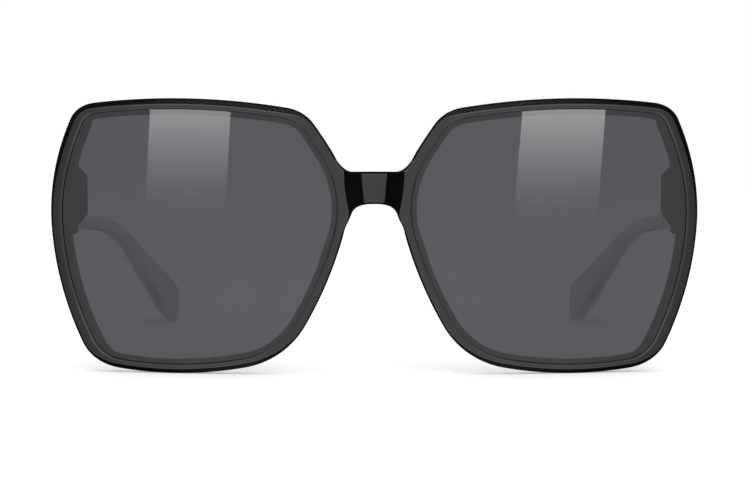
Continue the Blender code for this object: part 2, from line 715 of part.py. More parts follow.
def build_temple(label, side, materials, base):
    plastic, _, metal = materials
    axis = add_empty(f"{label}_fold_axis", (side * AXIS_X, AXIS_Y, HINGE_CENTRE), base)
    arm = add_object(f"{label}_temple", temple(side), plastic, axis)
    cut_hinge_seat(arm, f"{label}_temple", side, 1, TEMPLE_INNER, axis)
    fit_hinge(side, label, "temple", (1,), LEAF_STAND_OFF, 1, TEMPLE_INNER, metal, axis)
    route = wire_line()
    channel = route.copy()
    channel[0, 1] -= CUT_OVERRUN
    channel[-1] += (channel[-1] - channel[-2]) * WIRE_FIT / np.linalg.norm(channel[-1] - channel[-2])
    channel_tube = tube(side, channel, WIRE_RADIUS + WIRE_FIT)
    combine(arm, add_object(f"{label}_wire_channel", channel_tube, None, axis), "DIFFERENCE")
    route[0, 1] += WIRE_SETBACK
    add_object(f"{label}_core_wire", tube(side, route, WIRE_RADIUS), metal, axis)


def build():
    clear_scene()
    materials = (
        make_material("black_acetate", (0.006, 0.006, 0.007), 0.08),
        make_material("grey_tint", (0.10, 0.095, 0.11), 0.03, transmission=0.9),
        make_material("nickel_silver", (0.62, 0.60, 0.56), 0.3, metallic=1.0),
    )
    front_most = bow(LENS_SPACING / 2 - RIM_WIDTH)
    base = add_empty("sunglasses", (0, -(WHOLE_DEPTH + front_most) / 2, 0))
    build_front(materials, base)
    for label, side in (("left", 1), ("right", -1)):
        build_temple(label, side, materials, base)


build()
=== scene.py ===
"""Square sunglasses: polished black acetate, grey tinted lenses and nickel silver hinges, on a pale table.

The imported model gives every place. Lengths are metres, +Z is up and the front faces -Y. Left and right are
the wearer's, so left is +X. A shape is drawn for the left side and mirrored by a side of -1.
"""

import math

import bmesh
import bpy
import numpy as np
from mathutils import Matrix, Vector


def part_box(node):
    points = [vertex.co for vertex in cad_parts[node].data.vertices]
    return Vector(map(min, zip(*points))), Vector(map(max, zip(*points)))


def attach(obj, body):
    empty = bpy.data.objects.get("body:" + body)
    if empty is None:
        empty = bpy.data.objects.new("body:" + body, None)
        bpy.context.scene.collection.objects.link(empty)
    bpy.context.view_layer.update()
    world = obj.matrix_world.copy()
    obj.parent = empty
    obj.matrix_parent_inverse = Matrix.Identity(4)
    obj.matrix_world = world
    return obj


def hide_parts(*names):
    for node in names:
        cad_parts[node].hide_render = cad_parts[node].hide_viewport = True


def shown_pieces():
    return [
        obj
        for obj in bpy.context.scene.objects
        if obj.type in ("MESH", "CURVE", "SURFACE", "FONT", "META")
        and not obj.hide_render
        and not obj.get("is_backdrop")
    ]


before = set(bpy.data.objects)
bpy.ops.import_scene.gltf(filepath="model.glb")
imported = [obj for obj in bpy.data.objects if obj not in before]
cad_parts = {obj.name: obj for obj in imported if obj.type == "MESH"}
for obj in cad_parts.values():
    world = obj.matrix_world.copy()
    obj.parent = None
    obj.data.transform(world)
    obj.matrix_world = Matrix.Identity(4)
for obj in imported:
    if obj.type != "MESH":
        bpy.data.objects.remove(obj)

MM = 0.001
SIDES = (("left", 1), ("right", -1))

# Front
LENS_WIDTH = 61.875 * MM
LENS_HEIGHT = 56.7 * MM
LENS_SPACING = 16.6 * MM
LENS_THICKNESS = 2.0 * MM
LENS_SEAT = 0.6 * MM
LENS_SETBACK = 0.65 * MM
FRONT_BOW_RADIUS = 265.0 * MM
RIM_WIDTH = 2.5 * MM
RIM_DEPTH = 4.2 * MM
RIM_BEVEL = 1.25 * MM
RIM_BEVEL_DEPTH = 0.8 * MM
RIM_REAR_ROUND = 0.7 * MM
RIM_DIP = 0.17 * MM
RIM_DIP_WIDTH = 0.45 * MM
RIM_DIP_ROUND = 0.5 * MM
RIM_EDGE_BREAK = 0.1 * MM
BEVEL_ROUND = 1.5 * MM
SIDE_ROUND = 0.7 * MM
FRONT_LIP = 0.3 * MM
REAR_LIP_REACH = 1.5 * MM
REAR_LIP_ROUND = 0.45 * MM
GROOVE_DEPTH = 0.8 * MM
GROOVE_REAR = 2.8 * MM
RIM_STATIONS = 432
ROUND_STEPS = 5
LENS_RINGS = 22
LENS_CENTRE_SHARE = 0.03

# How far behind the front's face the lens's face lies here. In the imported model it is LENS_SETBACK.
LENS_FACE = 0.45 * MM

# Each corner of the lens, from the top by the nose round by the temple: its place as shares of the lens
# width and height, how far its curve reaches along its sides, and for the side that follows it the bow,
# as shares of the lens height, then that side's rim, bevel and rear lip widths, as shares of the named ones.
EYE_CORNER_SHARES = (
    (0.142, 0.955, 0.048, 0.032, 0.99, 1.00, 0.75),
    (0.910, 0.979, 0.040, 0.003, 1.18, 0.80, 1.45),
    (0.998, 0.739, 0.198, 0.056, 1.03, 0.33, 1.38),
    (0.855, 0.028, 0.075, 0.041, 0.85, 0.80, 0.62),
    (0.213, 0.055, 0.138, 0.037, 0.88, 0.36, 0.70),
    (-0.021, 0.668, 0.168, 0.008, 1.02, 0.38, 0.74),
)
EYE_STEPS = 60
NOSE_FACING_SHARE = 0.4

# Bridge
BRIDGE_TOP = 45.0 * MM
BRIDGE_ARCH = 37.8 * MM
BRIDGE_ARCH_DROP = 4.6 * MM
BRIDGE_ARCH_FOOT = 8.6 * MM
BRIDGE_ARCH_POWER = 3
BRIDGE_FOOT_POWER = 8
BRIDGE_FLAT = 4.8 * MM
BRIDGE_FILLET_RADIUS = 2.4 * MM
BRIDGE_FILLET_RISE = 3.2 * MM
BRIDGE_FACE_STEP = -0.02 * MM
BRIDGE_BURIED = 0.4 * MM
BRIDGE_BURIED_SHARE = 0.95
BRIDGE_BURIED_STEP = 0.01
BRIDGE_REAR_STEP = 0.3 * MM
BRIDGE_SCOOP = 2.6 * MM
BRIDGE_STRIP_HOLLOW = 0.25 * MM
BRIDGE_STRIP_SHARE = 0.31
BRIDGE_STRIP_HALF = 2.87 * MM
BRIDGE_STRIP_TAPER = 0.84 * MM
BRIDGE_FLUSH_SHARE = 0.76
BRIDGE_FLUSH_HALF = 6.67 * MM
BRIDGE_FLUSH_TAPER = 1.09 * MM
BRIDGE_WAIST = 36.2 * MM
BRIDGE_WAIST_FADE = 3.0 * MM
BRIDGE_REAR_SWELL = 2.0 * MM
BRIDGE_ROUND = 0.7 * MM
BRIDGE_ROUND_STRETCH = 3.0
BRIDGE_ROOT = 0.4 * MM
BRIDGE_STEPS = (14, 20, 12)
FILLET_ROUNDS = 20
BRIDGE_LEVELS = 14

# Nose pads
PAD_LENGTH = 17.0 * MM
PAD_HEIGHT = 28.0 * MM
PAD_WIDTH = 3.2 * MM
PAD_REACH = 5.0 * MM
PAD_FLARE = 0.9 * MM
PAD_SET_IN = 0.5 * MM
PAD_GAP = 0.2 * MM
PAD_END_ANGLE = math.radians(84)
PAD_STATIONS = 45
PAD_ARC_STEPS = 24

# End pieces
ENDPIECE_INSET = 1.025 * MM
ENDPIECE_THICKNESS = 6.1 * MM
ENDPIECE_DRAFT = 1.2 * MM
ENDPIECE_BOTTOM = 31.2 * MM
ENDPIECE_HEIGHT = 14.8 * MM
ENDPIECE_REAR = 21.0 * MM
ENDPIECE_SHOULDER = 3.8 * MM
ENDPIECE_SHOULDER_REAR = 0.6 * MM
ENDPIECE_TOP_CHAMFER = 2.0 * MM
ENDPIECE_BOTTOM_CHAMFER = 3.3 * MM
ENDPIECE_BOTTOM_CHAMFER_RISE = 4.2 * MM
ENDPIECE_EDGE = 0.3 * MM
ENDPIECE_ROOT = 0.45 * MM
END_EDGE_ROUND = 0.25 * MM

# Hinges and their screws
HINGE_CENTRE = 39.6 * MM
KNUCKLE_RADIUS = 1.4 * MM
KNUCKLE_HEIGHT = 1.65 * MM
KNUCKLE_GAP = 0.2 * MM
KNUCKLE_ROOM = 0.4 * MM
LEAF_THICKNESS = 0.9 * MM
LEAF_LENGTH = 3.6 * MM
LEAF_FIT = 0.2 * MM
LEAF_STAND_OFF = 0.1 * MM
FRONT_LEAF_INSET = 1.1 * MM
LEAF_BEVEL = 0.12 * MM
LEAF_BEVEL_STEPS = 2
JOINT_GAP = 0.3 * MM
MOUNT_SCREW_SPACING = 2.9 * MM
SCREW_FIT = 0.2 * MM
SCREW_SLOT_WIDTH = 0.25 * MM
SCREW_SLOT_DEPTH = 0.2 * MM
SLOT_LENGTH_SHARE = 4
SCREW_EDGE = 0.08 * MM
SHANK_SUNK_SHARE = 1.5
SCREW_STEPS = 32
SLOT_TURN = 0.9
KNUCKLE_STEPS = 40
CUT_OVERRUN = 2.0 * MM

# Temples
TEMPLE_REACH = 117.6 * MM
TEMPLE_ROOT_HEIGHT = 15.0 * MM
TEMPLE_ROOT_CENTRE = 37.7 * MM
TEMPLE_THICKNESS = 3.8 * MM
TEMPLE_TIP_WIDTH = 11.7 * MM
TEMPLE_TOE_IN = 12.3 * MM
TEMPLE_ROUND = 1.15 * MM
TEMPLE_ROUND_SHARE = 0.42
TEMPLE_STEPS = 10
TIP_STEPS = 14

# Down the temple: the distance behind its root as a share of its reach, how far its middle has sunk from
# the root's height to the tip's, its height as a share of the root's, and how far it has turned in and
# its thickness, as shares of the named ones.
TEMPLE_SHARES = (
    (0.000, 0.000, 1.000, 0.000, 1.00),
    (0.026, 0.002, 0.993, 0.000, 1.00),
    (0.048, 0.018, 0.883, 0.000, 1.00),
    (0.065, 0.046, 0.713, 0.004, 0.97),
    (0.082, 0.085, 0.470, 0.010, 0.91),
    (0.101, 0.110, 0.300, 0.018, 0.86),
    (0.127, 0.134, 0.250, 0.031, 0.82),
    (0.180, 0.166, 0.250, 0.057, 0.79),
    (0.266, 0.194, 0.267, 0.101, 0.79),
    (0.370, 0.222, 0.267, 0.153, 0.79),
    (0.474, 0.262, 0.275, 0.204, 0.79),
    (0.578, 0.326, 0.286, 0.256, 0.80),
    (0.665, 0.397, 0.304, 0.314, 0.81),
    (0.743, 0.493, 0.364, 0.397, 0.82),
    (0.813, 0.617, 0.462, 0.513, 0.84),
    (0.873, 0.733, 0.599, 0.639, 0.85),
    (0.934, 0.871, 0.743, 0.810, 0.85),
    (1.000, 1.000, 0.780, 1.000, 0.82),
)
TEMPLE_LEAN_START_SHARE = 0.30
TEMPLE_LEAN_END_SHARE = 0.75

# How steeply faces meet, in degrees, where their edge shows sharp
FRONT_CREASE = 24
LENS_CREASE = 30
PAD_CREASE = 60
LEAF_BEVEL_CREASE = 50
LEAF_CREASE = 40
SCREW_CREASE = 35
TEMPLE_CREASE = 32

# Camera, as the photograph was taken: its frame in pixels, and where its axis meets the front
PHOTO_WIDTH = 750
PHOTO_HEIGHT = 480
PHOTO_MIDDLE_COLUMN = 374.25
CAMERA_DISTANCE = 500.0 * MM
CAMERA_PITCH = math.radians(3.0)
CAMERA_AIM_SETBACK = 4.0 * MM
CAMERA_AIM_HEIGHT = 29.8 * MM
CAMERA_NEAR = 10.0 * MM
PHOTO_PIXEL = 0.22255 * MM
SENSOR_WIDTH = 36.0

# Each window that the lenses mirror, the pixels of its corners in the photograph, and its strength
WINDOWS = (
    ("left_window", ((523, 104), (606, 104), (597, 226), (513, 226)), 4.9),
    ("right_window", ((150.2, 104), (231, 104), (225, 220), (144.6, 220)), 4.2),
)
WINDOW_DISTANCE = 600.0 * MM
WINDOW_ROWS = 25
WINDOW_COLUMNS = 9
WINDOW_FALL = 1.65
MIRROR_ROUNDS = 5

# The tents round the table, by the pieces that mirror them: each one's radius, how bright it is round the
# table, in degrees from straight ahead, how bright up from the level, and whether rays go on through it
FRAME_AROUND = (
    *((0, 1.2), (26, 1.15), (36, 0.85), (44, 0.66), (50, 0.66), (56, 0.0)),
    *((110, 0.0), (135, 0.5), (155, 0.5), (167, 0.0), (180, 0.0)),
)
FRAME_ABOVE = (
    *((-90, 0.0), (-70, 0.15), (-50, 0.0), (-32, 1.5), (-16, 1.5), (-9, 1.0)),
    *((8, 1.0), (15, 1.8), (28, 1.7), (42, 0.05), (62, 0.35), (82, 0.0), (90, 0.0)),
)
LENS_AROUND = ((0, 1.0), (20, 0.98), (37, 0.9), (60, 0.85), (80, 0.5), (180, 0.8))
LENS_ABOVE = ((-90, 1.0), (30, 1.0), (90, 0.6))
ARM_AROUND = ((0, 1.2), (34, 1.0), (48, 0.0), (110, 0.0), (140, 4.0), (152, 3.0), (168, 1.8), (180, 1.6))
ARM_ABOVE = ((-90, 2.4), (-50, 2.3), (-28, 1.1), (-12, 0.7), (-6, 1.0), (8, 1.0), (42, 0.4), (90, 0.3))
TENTS = {
    "lens": (1.3, LENS_AROUND, LENS_ABOVE, True),
    "frame": (1.4, FRAME_AROUND, FRAME_ABOVE, True),
    "arm": (1.5, ARM_AROUND, ARM_ABOVE, False),
}
TENT_SEGMENTS = 96
TENT_RINGS = 48

# Table and room
FLOOR_SIZE = 3.0
FLOOR_DROP = 0.02 * MM
FLOOR_LIFT = 0.34
AMBIENT_LEVEL = 0.8

# The range that a noise pattern mostly keeps to
NOISE_LOW = 0.3
NOISE_HIGH = 0.7

# Each lamp's name, place, what it faces, size and power
LAMPS = (
    ("overhead_softbox", (0.0, -0.1, 0.9), (0.0, 0.0, 0.0), (1.0, 0.8), 2.4),
    ("front_softbox", (0.35, -0.9, 0.6), (0.0, 0.0, 0.03), (0.6, 0.6), 1.8),
)

# Places worked out from the frame and the sizes above
LENS_LOW, LENS_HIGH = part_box("left_lens")
EYE_LOW = np.array(LENS_LOW.xz) + LENS_SEAT
EYE_SIZE = np.array(LENS_HIGH.xz) - np.array(LENS_LOW.xz) - 2 * LENS_SEAT
ENDPIECE_OUTER = LENS_SPACING / 2 + LENS_WIDTH + RIM_WIDTH - ENDPIECE_INSET
ENDPIECE_INNER = ENDPIECE_OUTER - ENDPIECE_THICKNESS
FRONT_LEAF_FACE = ENDPIECE_INNER + FRONT_LEAF_INSET
HINGE_HEIGHT = 3 * KNUCKLE_HEIGHT + 2 * KNUCKLE_GAP
TEMPLE_INNER = ENDPIECE_OUTER - TEMPLE_THICKNESS
TEMPLE_ROOT = ENDPIECE_REAR + JOINT_GAP
AXIS_X = TEMPLE_INNER - LEAF_STAND_OFF
AXIS_Y = ENDPIECE_REAR + JOINT_GAP / 2
KNUCKLE_REACH = KNUCKLE_RADIUS + KNUCKLE_ROOM
TIP_RADIUS = TEMPLE_TIP_WIDTH / 2
QUARTER_TURN = np.linspace(0, math.pi / 2, ROUND_STEPS + 1)

# The face that a leaf lies on, by its direction from the axis along Y: -1 is the front's and 1 the temple's
LEAF_FACES = {-1: FRONT_LEAF_FACE, 1: TEMPLE_INNER}

# What the sizes of a screw are, and the mounting and pivot screws' sizes in that order
SCREW_MEASURES = ("Shank Radius", "Head Radius", "Head Height", "Length")
MOUNT_SCREW = (0.45 * MM, 0.85 * MM, 0.4 * MM, 2.5 * MM)
PIVOT_SCREW = (0.6 * MM, 1.0 * MM, 0.45 * MM, HINGE_HEIGHT)


def bow(x):
    """How far back the bowed front lies at this distance from its middle."""
    return x * x / (2 * FRONT_BOW_RADIUS)


FRONT_Y = LENS_LOW.y - LENS_SETBACK - bow(LENS_LOW.x)


def smooth_step(share):
    share = np.clip(share, 0.0, 1.0)
    return share * share * (3 - 2 * share)


def close_end(bm, row):
    """Fills a ring with strips from one half of it to the other, which follow a bent ring too."""
    low, high = 0, len(row) - 1
    while high - low > 1:
        bm.faces.new(dict.fromkeys((row[low], row[low + 1], row[high - 1], row[high])))
        low += 1
        high -= 1


def loft(rings, ring_of_rings=False):
    """A closed shell through rings of points. It ends in two caps, or runs round to its own start."""
    bm = bmesh.new()
    rows = [[bm.verts.new(point) for point in ring] for ring in rings]
    pairs = list(zip(rows, rows[1:]))
    if ring_of_rings:
        pairs.append((rows[-1], rows[0]))
    for low, high in pairs:
        for corners in zip(low, [*low[1:], low[0]], [*high[1:], high[0]], high):
            bm.faces.new(corners)
    if not ring_of_rings:
        close_end(bm, rows[0])
        close_end(bm, rows[-1])
    return bm


def rounded(corners, radii):
    """The closed outline through these corners with each one turned into an arc of its radius."""
    corners = np.array(corners, float)
    points = []
    for last, here, after, radius in zip(np.roll(corners, 1, 0), corners, np.roll(corners, -1, 0), radii):
        if radius == 0:
            points.append(here)
            continue
        to_last = (last - here) / np.hypot(*(last - here))
        to_next = (after - here) / np.hypot(*(after - here))
        half = math.acos(np.clip(to_last @ to_next, -1, 1)) / 2
        middle = to_last + to_next
        centre = here + middle / np.hypot(*middle) * radius / math.sin(half)
        start = here + to_last * radius / math.tan(half) - centre
        end = here + to_next * radius / math.tan(half) - centre
        sweep = math.pi - 2 * half
        for share in np.linspace(0, 1, ROUND_STEPS + 1):
            near, far = math.sin((1 - share) * sweep), math.sin(share * sweep)
            points.append(centre + (start * near + end * far) / math.sin(sweep))
    return np.array(points)


def mesh_of(name, bm):
    mesh = bpy.data.meshes.new(name)
    bm.to_mesh(mesh)
    bm.free()
    return mesh


def linked(name, data):
    """An object of a mesh, a lamp or a camera, linked to the scene."""
    obj = bpy.data.objects.new(name, data)
    bpy.context.scene.collection.objects.link(obj)
    return obj


def solid(name, bm):
    """An object of a bmesh drawn in the front's frame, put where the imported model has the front."""
    bmesh.ops.translate(bm, verts=bm.verts, vec=(0, FRONT_Y, 0))
    bmesh.ops.recalc_face_normals(bm, faces=bm.faces)
    return linked(name, mesh_of(name, bm))


def box(side, low, high):
    corners = [(low[0], low[1]), (high[0], low[1]), (high[0], high[1]), (low[0], high[1])]
    return loft([[(side * x, y, z) for x, y in corners] for z in (low[2], high[2])])


def settle(obj):
    """Turns an object with its modifiers into a plain mesh of the same name."""
    graph = bpy.context.evaluated_depsgraph_get()
    mesh = bpy.data.meshes.new_from_object(obj.evaluated_get(graph))
    obj.modifiers.clear()
    old, obj.data = obj.data, mesh
    mesh.name = obj.name
    bpy.data.meshes.remove(old)


def combine(target, tools, operation):
    """Joins helper shapes to a piece, or cuts them out of it, and removes them."""
    tools = list(tools)
    for tool in tools:
        modifier = target.modifiers.new(tool.name, "BOOLEAN")
        modifier.operation = operation
        modifier.object = tool
    settle(target)
    for tool in tools:
        bpy.data.meshes.remove(tool.data)


def cover(obj, material):
    obj.data.materials.clear()
    obj.data.materials.append(material)


def finish_piece(obj, crease, material, slot, body, *nodes):
    """Shades a piece smooth, broken where faces meet more steeply than the crease, covers it with its
    material, hangs it on its body and hides the imported nodes that it stands for.
    """
    obj.data.shade_smooth()
    obj.data.set_sharp_from_angle(angle=math.radians(crease))
    cover(obj, material)
    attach(obj, body)
    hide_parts(*nodes)


# The lens line and what is drawn along it
def eye_outline():
    """The lens line of the left eye as rows of x, z, and the widths of the rim, its bevel and its lip."""
    table = np.array(EYE_CORNER_SHARES)
    corners = np.column_stack([table[:, 0] * LENS_WIDTH, table[:, 1] * LENS_HEIGHT])
    reaches = table[:, 2] * LENS_HEIGHT
    bows = table[:, 3] * LENS_HEIGHT
    rims = table[:, 4:7] * (RIM_WIDTH, RIM_BEVEL, REAR_LIP_REACH)
    runs = np.roll(corners, -1, axis=0) - corners
    lengths = [math.hypot(*run) for run in runs]

    def side_point(index, share):
        run = runs[index]
        outward = np.array([-run[1], run[0]]) / lengths[index]
        point = corners[index] + run * share + outward * 4 * bows[index] * share * (1 - share)
        heading = run + outward * 4 * bows[index] * (1 - 2 * share)
        return point, heading / math.hypot(*heading)

    rows = []
    for index in range(len(corners)):
        before = index - 1
        start, start_heading = side_point(before, 1 - reaches[index] / lengths[before])
        end, end_heading = side_point(index, reaches[index] / lengths[index])
        turn = start_heading[0] * end_heading[1] - start_heading[1] * end_heading[0]
        angle = math.atan2(turn, start_heading @ end_heading)
        gap = end - start
        meeting = start + start_heading * (gap[0] * end_heading[1] - gap[1] * end_heading[0]) / turn
        pull = 4 / 3 * math.tan(angle / 4) / math.tan(angle / 2)
        handles = (start, start + (meeting - start) * pull, end + (meeting - end) * pull, end)
        for share in np.arange(EYE_STEPS) / EYE_STEPS:
            rest = 1 - share
            weights = (rest**3, 3 * rest**2 * share, 3 * rest * share**2, share**3)
            point = sum(weight * handle for weight, handle in zip(weights, handles))
            rim = rims[before] + (rims[index] - rims[before]) * smooth_step(share)
            rows.append((*point, *rim))
        after = (index + 1) % len(corners)
        first = reaches[index] / lengths[index]
        last = 1 - reaches[after] / lengths[index]
        for share in first + (last - first) * np.arange(EYE_STEPS) / EYE_STEPS:
            rows.append((*side_point(index, share)[0], *rims[index]))
    rows = np.array(rows)
    line = rows[:, :2]
    rows[:, :2] = EYE_LOW + (line - line.min(axis=0)) * EYE_SIZE / np.ptp(line, axis=0)
    closed = np.vstack([rows, rows[:1]])
    along = np.concatenate([[0], np.cumsum(np.hypot(*np.diff(closed[:, :2], axis=0).T))])
    places = along[-1] * np.arange(RIM_STATIONS) / RIM_STATIONS
    return np.column_stack([np.interp(places, along, column) for column in closed.T])


def outward_of(outline):
    """The outward direction at each row of the outline, which runs clockwise as seen from the front."""
    run = np.roll(outline[:, :2], -1, axis=0) - np.roll(outline[:, :2], 1, axis=0)
    run /= np.hypot(*run.T)[:, None]
    return np.column_stack([-run[:, 1], run[:, 0]])


EYE = eye_outline()
EYE_OUTWARD = outward_of(EYE)


def nose_side(offset):
    """A function giving how far from the middle plane the nose side of the eye lies at each height."""
    points = EYE[:, :2] + EYE_OUTWARD * offset
    beside = points[EYE_OUTWARD[:, 0] < -NOSE_FACING_SHARE]
    beside = beside[np.argsort(beside[:, 1])]
    return lambda height: np.interp(height, beside[:, 1], beside[:, 0])


def rim_section(width, bevel, lip):
    """The rim's section as offsets from the lens line and depths, with every edge rounded."""
    share = bevel / RIM_BEVEL
    corners = (
        (0, RIM_DIP, RIM_EDGE_BREAK),
        (RIM_DIP_WIDTH, 0, RIM_DIP_ROUND),
        (width - bevel, 0, BEVEL_ROUND * share**2),
        (width, RIM_BEVEL_DEPTH * share, SIDE_ROUND * share),
        (width, RIM_DEPTH, RIM_REAR_ROUND),
        (-lip, RIM_DEPTH, REAR_LIP_ROUND),
        (-lip, GROOVE_REAR, 0),
        (GROOVE_DEPTH, GROOVE_REAR, 0),
        (GROOVE_DEPTH, FRONT_LIP, 0),
        (0, FRONT_LIP, 0),
    )
    table = np.array(corners)
    return rounded(table[:, :2], table[:, 2])


def rim(side):
    rings = []
    for (x, z, width, bevel, lip), outward in zip(EYE, EYE_OUTWARD):
        section = rim_section(width, bevel, lip)
        across = x + outward[0] * section[:, 0]
        ring = np.column_stack([side * across, section[:, 1] + bow(across), z + outward[1] * section[:, 0]])
        rings.append(ring)
    return loft(rings, ring_of_rings=True)


def bridge_shares():
    """How far out each section of the bridge stands, with a section on every crease."""
    creases = (0, BRIDGE_STRIP_SHARE, BRIDGE_FLUSH_SHARE, BRIDGE_BURIED_SHARE)
    outer = []
    for start, end, steps in zip(creases, creases[1:], BRIDGE_STEPS):
        outer.extend(np.linspace(start, end, steps)[1:])
    outer.extend((BRIDGE_BURIED_SHARE + BRIDGE_BURIED_STEP, 1))
    return [*(-share for share in outer[::-1]), 0, *outer]


def bridge_face(depth, back, bottom, low, top, high):
    """The front or rear of a section of the bridge, from the round at its bottom to the one at its top."""
    lower = [(depth + back * (1 - math.sin(a)), bottom + low * (1 - math.cos(a))) for a in QUARTER_TURN]
    upper = [(depth + back * (1 - math.sin(a)), top - high * (1 - math.cos(a))) for a in QUARTER_TURN]
    levels = np.linspace(bottom + low, top - high, BRIDGE_LEVELS)[1:-1]
    return [*lower, *((depth, height) for height in levels), *upper[::-1]]


def bridge():
    """The bridge, drawn across the nose: flat on top, arched below, sunk in front to a strip between two
    flanks that widen upward, and swelling behind."""
    root = nose_side(GROOVE_DEPTH + BRIDGE_ROOT)
    creases = (0, BRIDGE_STRIP_SHARE, BRIDGE_FLUSH_SHARE, 1)

    def across(share, height):
        """How far out a section stands at a height. The creases lean out upward from the waist."""
        reach = root(height)
        drop = max(BRIDGE_TOP - height, 0) / (BRIDGE_TOP - BRIDGE_WAIST)
        strip = (BRIDGE_STRIP_HALF - BRIDGE_STRIP_TAPER * drop) / reach - BRIDGE_STRIP_SHARE
        flush = (BRIDGE_FLUSH_HALF - BRIDGE_FLUSH_TAPER * drop**2) / reach - BRIDGE_FLUSH_SHARE
        fade = np.clip(1 + (height - BRIDGE_WAIST) / BRIDGE_WAIST_FADE, 0, 1)
        return reach * (abs(share) + fade * np.interp(abs(share), creases, (0, strip, flush, 0)))

    def top_at(share):
        height = BRIDGE_TOP
        for _ in range(FILLET_ROUNDS):
            beyond = max(across(share, height) - BRIDGE_FLAT, 0)
            height = BRIDGE_TOP + min(beyond**2 / (2 * BRIDGE_FILLET_RADIUS), BRIDGE_FILLET_RISE)
        return height

    def bottom_at(share):
        drop = BRIDGE_ARCH_DROP * abs(share) ** BRIDGE_ARCH_POWER
        return BRIDGE_ARCH - drop - BRIDGE_ARCH_FOOT * abs(share) ** BRIDGE_FOOT_POWER

    def stretch(edge, share):
        """How much taller a round is where its edge is steep."""
        step = BRIDGE_BURIED_STEP
        inner, outer = abs(share) - step, abs(share)
        rise = edge(outer) - edge(inner)
        run = across(outer, edge(outer)) - across(inner, edge(inner))
        return min(math.hypot(1, rise / run), BRIDGE_ROUND_STRETCH)

    rings = []
    for share in bridge_shares():
        top, bottom = top_at(share), bottom_at(share)
        inward = (BRIDGE_FLUSH_SHARE - abs(share)) / (BRIDGE_FLUSH_SHARE - BRIDGE_STRIP_SHARE)
        hollow = max(1 - (share / BRIDGE_STRIP_SHARE) ** 2, 0)
        face = BRIDGE_FACE_STEP + BRIDGE_SCOOP * np.clip(inward, 0, 1) + BRIDGE_STRIP_HOLLOW * hollow
        if abs(share) > BRIDGE_BURIED_SHARE:
            face += BRIDGE_BURIED
        rear = RIM_DEPTH - BRIDGE_REAR_STEP + BRIDGE_REAR_SWELL * (1 - share**2)
        high, low = BRIDGE_ROUND * stretch(top_at, share), BRIDGE_ROUND * stretch(bottom_at, share)
        section = bridge_face(face, BRIDGE_ROUND, bottom, low, top, high)
        section.extend(bridge_face(rear, -BRIDGE_ROUND, bottom, low, top, high)[::-1])
        places = [(math.copysign(across(share, height), share), depth, height) for depth, height in section]
        rings.append([(x, depth + bow(x), height) for x, depth, height in places])
    return loft(rings)


def end_outline(inner, top, shoulder):
    """The end piece seen from behind, its corners cut back, with a shoulder on top. Its outline starts at
    the shoulder, which keeps the strips of its two ends inside it."""
    corners = (
        (inner + ENDPIECE_TOP_CHAMFER, top + shoulder),
        (inner + ENDPIECE_TOP_CHAMFER, top),
        (inner, top - ENDPIECE_TOP_CHAMFER),
        (inner, ENDPIECE_BOTTOM + ENDPIECE_BOTTOM_CHAMFER_RISE),
        (inner + ENDPIECE_BOTTOM_CHAMFER, ENDPIECE_BOTTOM),
        (ENDPIECE_OUTER, ENDPIECE_BOTTOM),
        (ENDPIECE_OUTER, top - ENDPIECE_TOP_CHAMFER),
        (ENDPIECE_OUTER - ENDPIECE_TOP_CHAMFER, top + shoulder),
    )
    return rounded(corners, [ENDPIECE_EDGE] * len(corners))


def end_piece(side):
    """The block behind a rim, whose inner side and shoulder taper back."""
    top = ENDPIECE_BOTTOM + ENDPIECE_HEIGHT
    section = end_outline(ENDPIECE_INNER - ENDPIECE_DRAFT, top, ENDPIECE_SHOULDER)
    rings = [[(side * x, bow(x) + GROOVE_REAR + ENDPIECE_ROOT, z) for x, z in section]]
    section = end_outline(ENDPIECE_INNER, top - ENDPIECE_SHOULDER_REAR, ENDPIECE_SHOULDER_REAR)
    middle = section.mean(axis=0)
    for angle in QUARTER_TURN:
        inset = END_EDGE_ROUND * (1 - math.cos(angle))
        back = ENDPIECE_REAR - END_EDGE_ROUND * (1 - math.sin(angle))
        shrunk = middle + (section - middle) * (1 - 2 * inset / ENDPIECE_THICKNESS)
        rings.append([(side * x, back, z) for x, z in shrunk])
    return loft(rings)


def lens(side):
    """A bowed plate that sits in the rim's groove, drawn in rings from the middle of its face to its back."""
    outline = EYE[:, :2] + EYE_OUTWARD * LENS_SEAT
    middle = outline.mean(axis=0)
    shares = np.linspace(LENS_CENTRE_SHARE, 1, LENS_RINGS)
    front = [(share, LENS_FACE) for share in shares]
    back = [(share, LENS_SETBACK + LENS_THICKNESS) for share in shares[::-1]]
    rings = []
    for share, depth in front + back:
        points = middle + (outline - middle) * share
        rings.append([(side * x, depth + bow(x), z) for x, z in points])
    return loft(rings)


def nose_pad(side):
    """A pad that swells back from the rim beside the nose and flares to suit it."""
    across = nose_side(0)
    rings = []
    for angle in np.linspace(-PAD_END_ANGLE, PAD_END_ANGLE, PAD_STATIONS):
        swell = math.cos(angle)
        height = PAD_HEIGHT + PAD_LENGTH / 2 * math.sin(angle) / math.sin(PAD_END_ANGLE)
        middle = across(height) - PAD_SET_IN
        ring = []
        for turn in np.linspace(0, math.pi, PAD_ARC_STEPS + 1):
            reach = math.sin(turn) * swell
            x = middle - PAD_WIDTH / 2 * math.cos(turn) * swell + PAD_FLARE * reach
            ring.append((side * x, RIM_DEPTH + bow(x) + (PAD_REACH + PAD_GAP) * reach, height))
        rings.append(ring)
    return loft(rings)


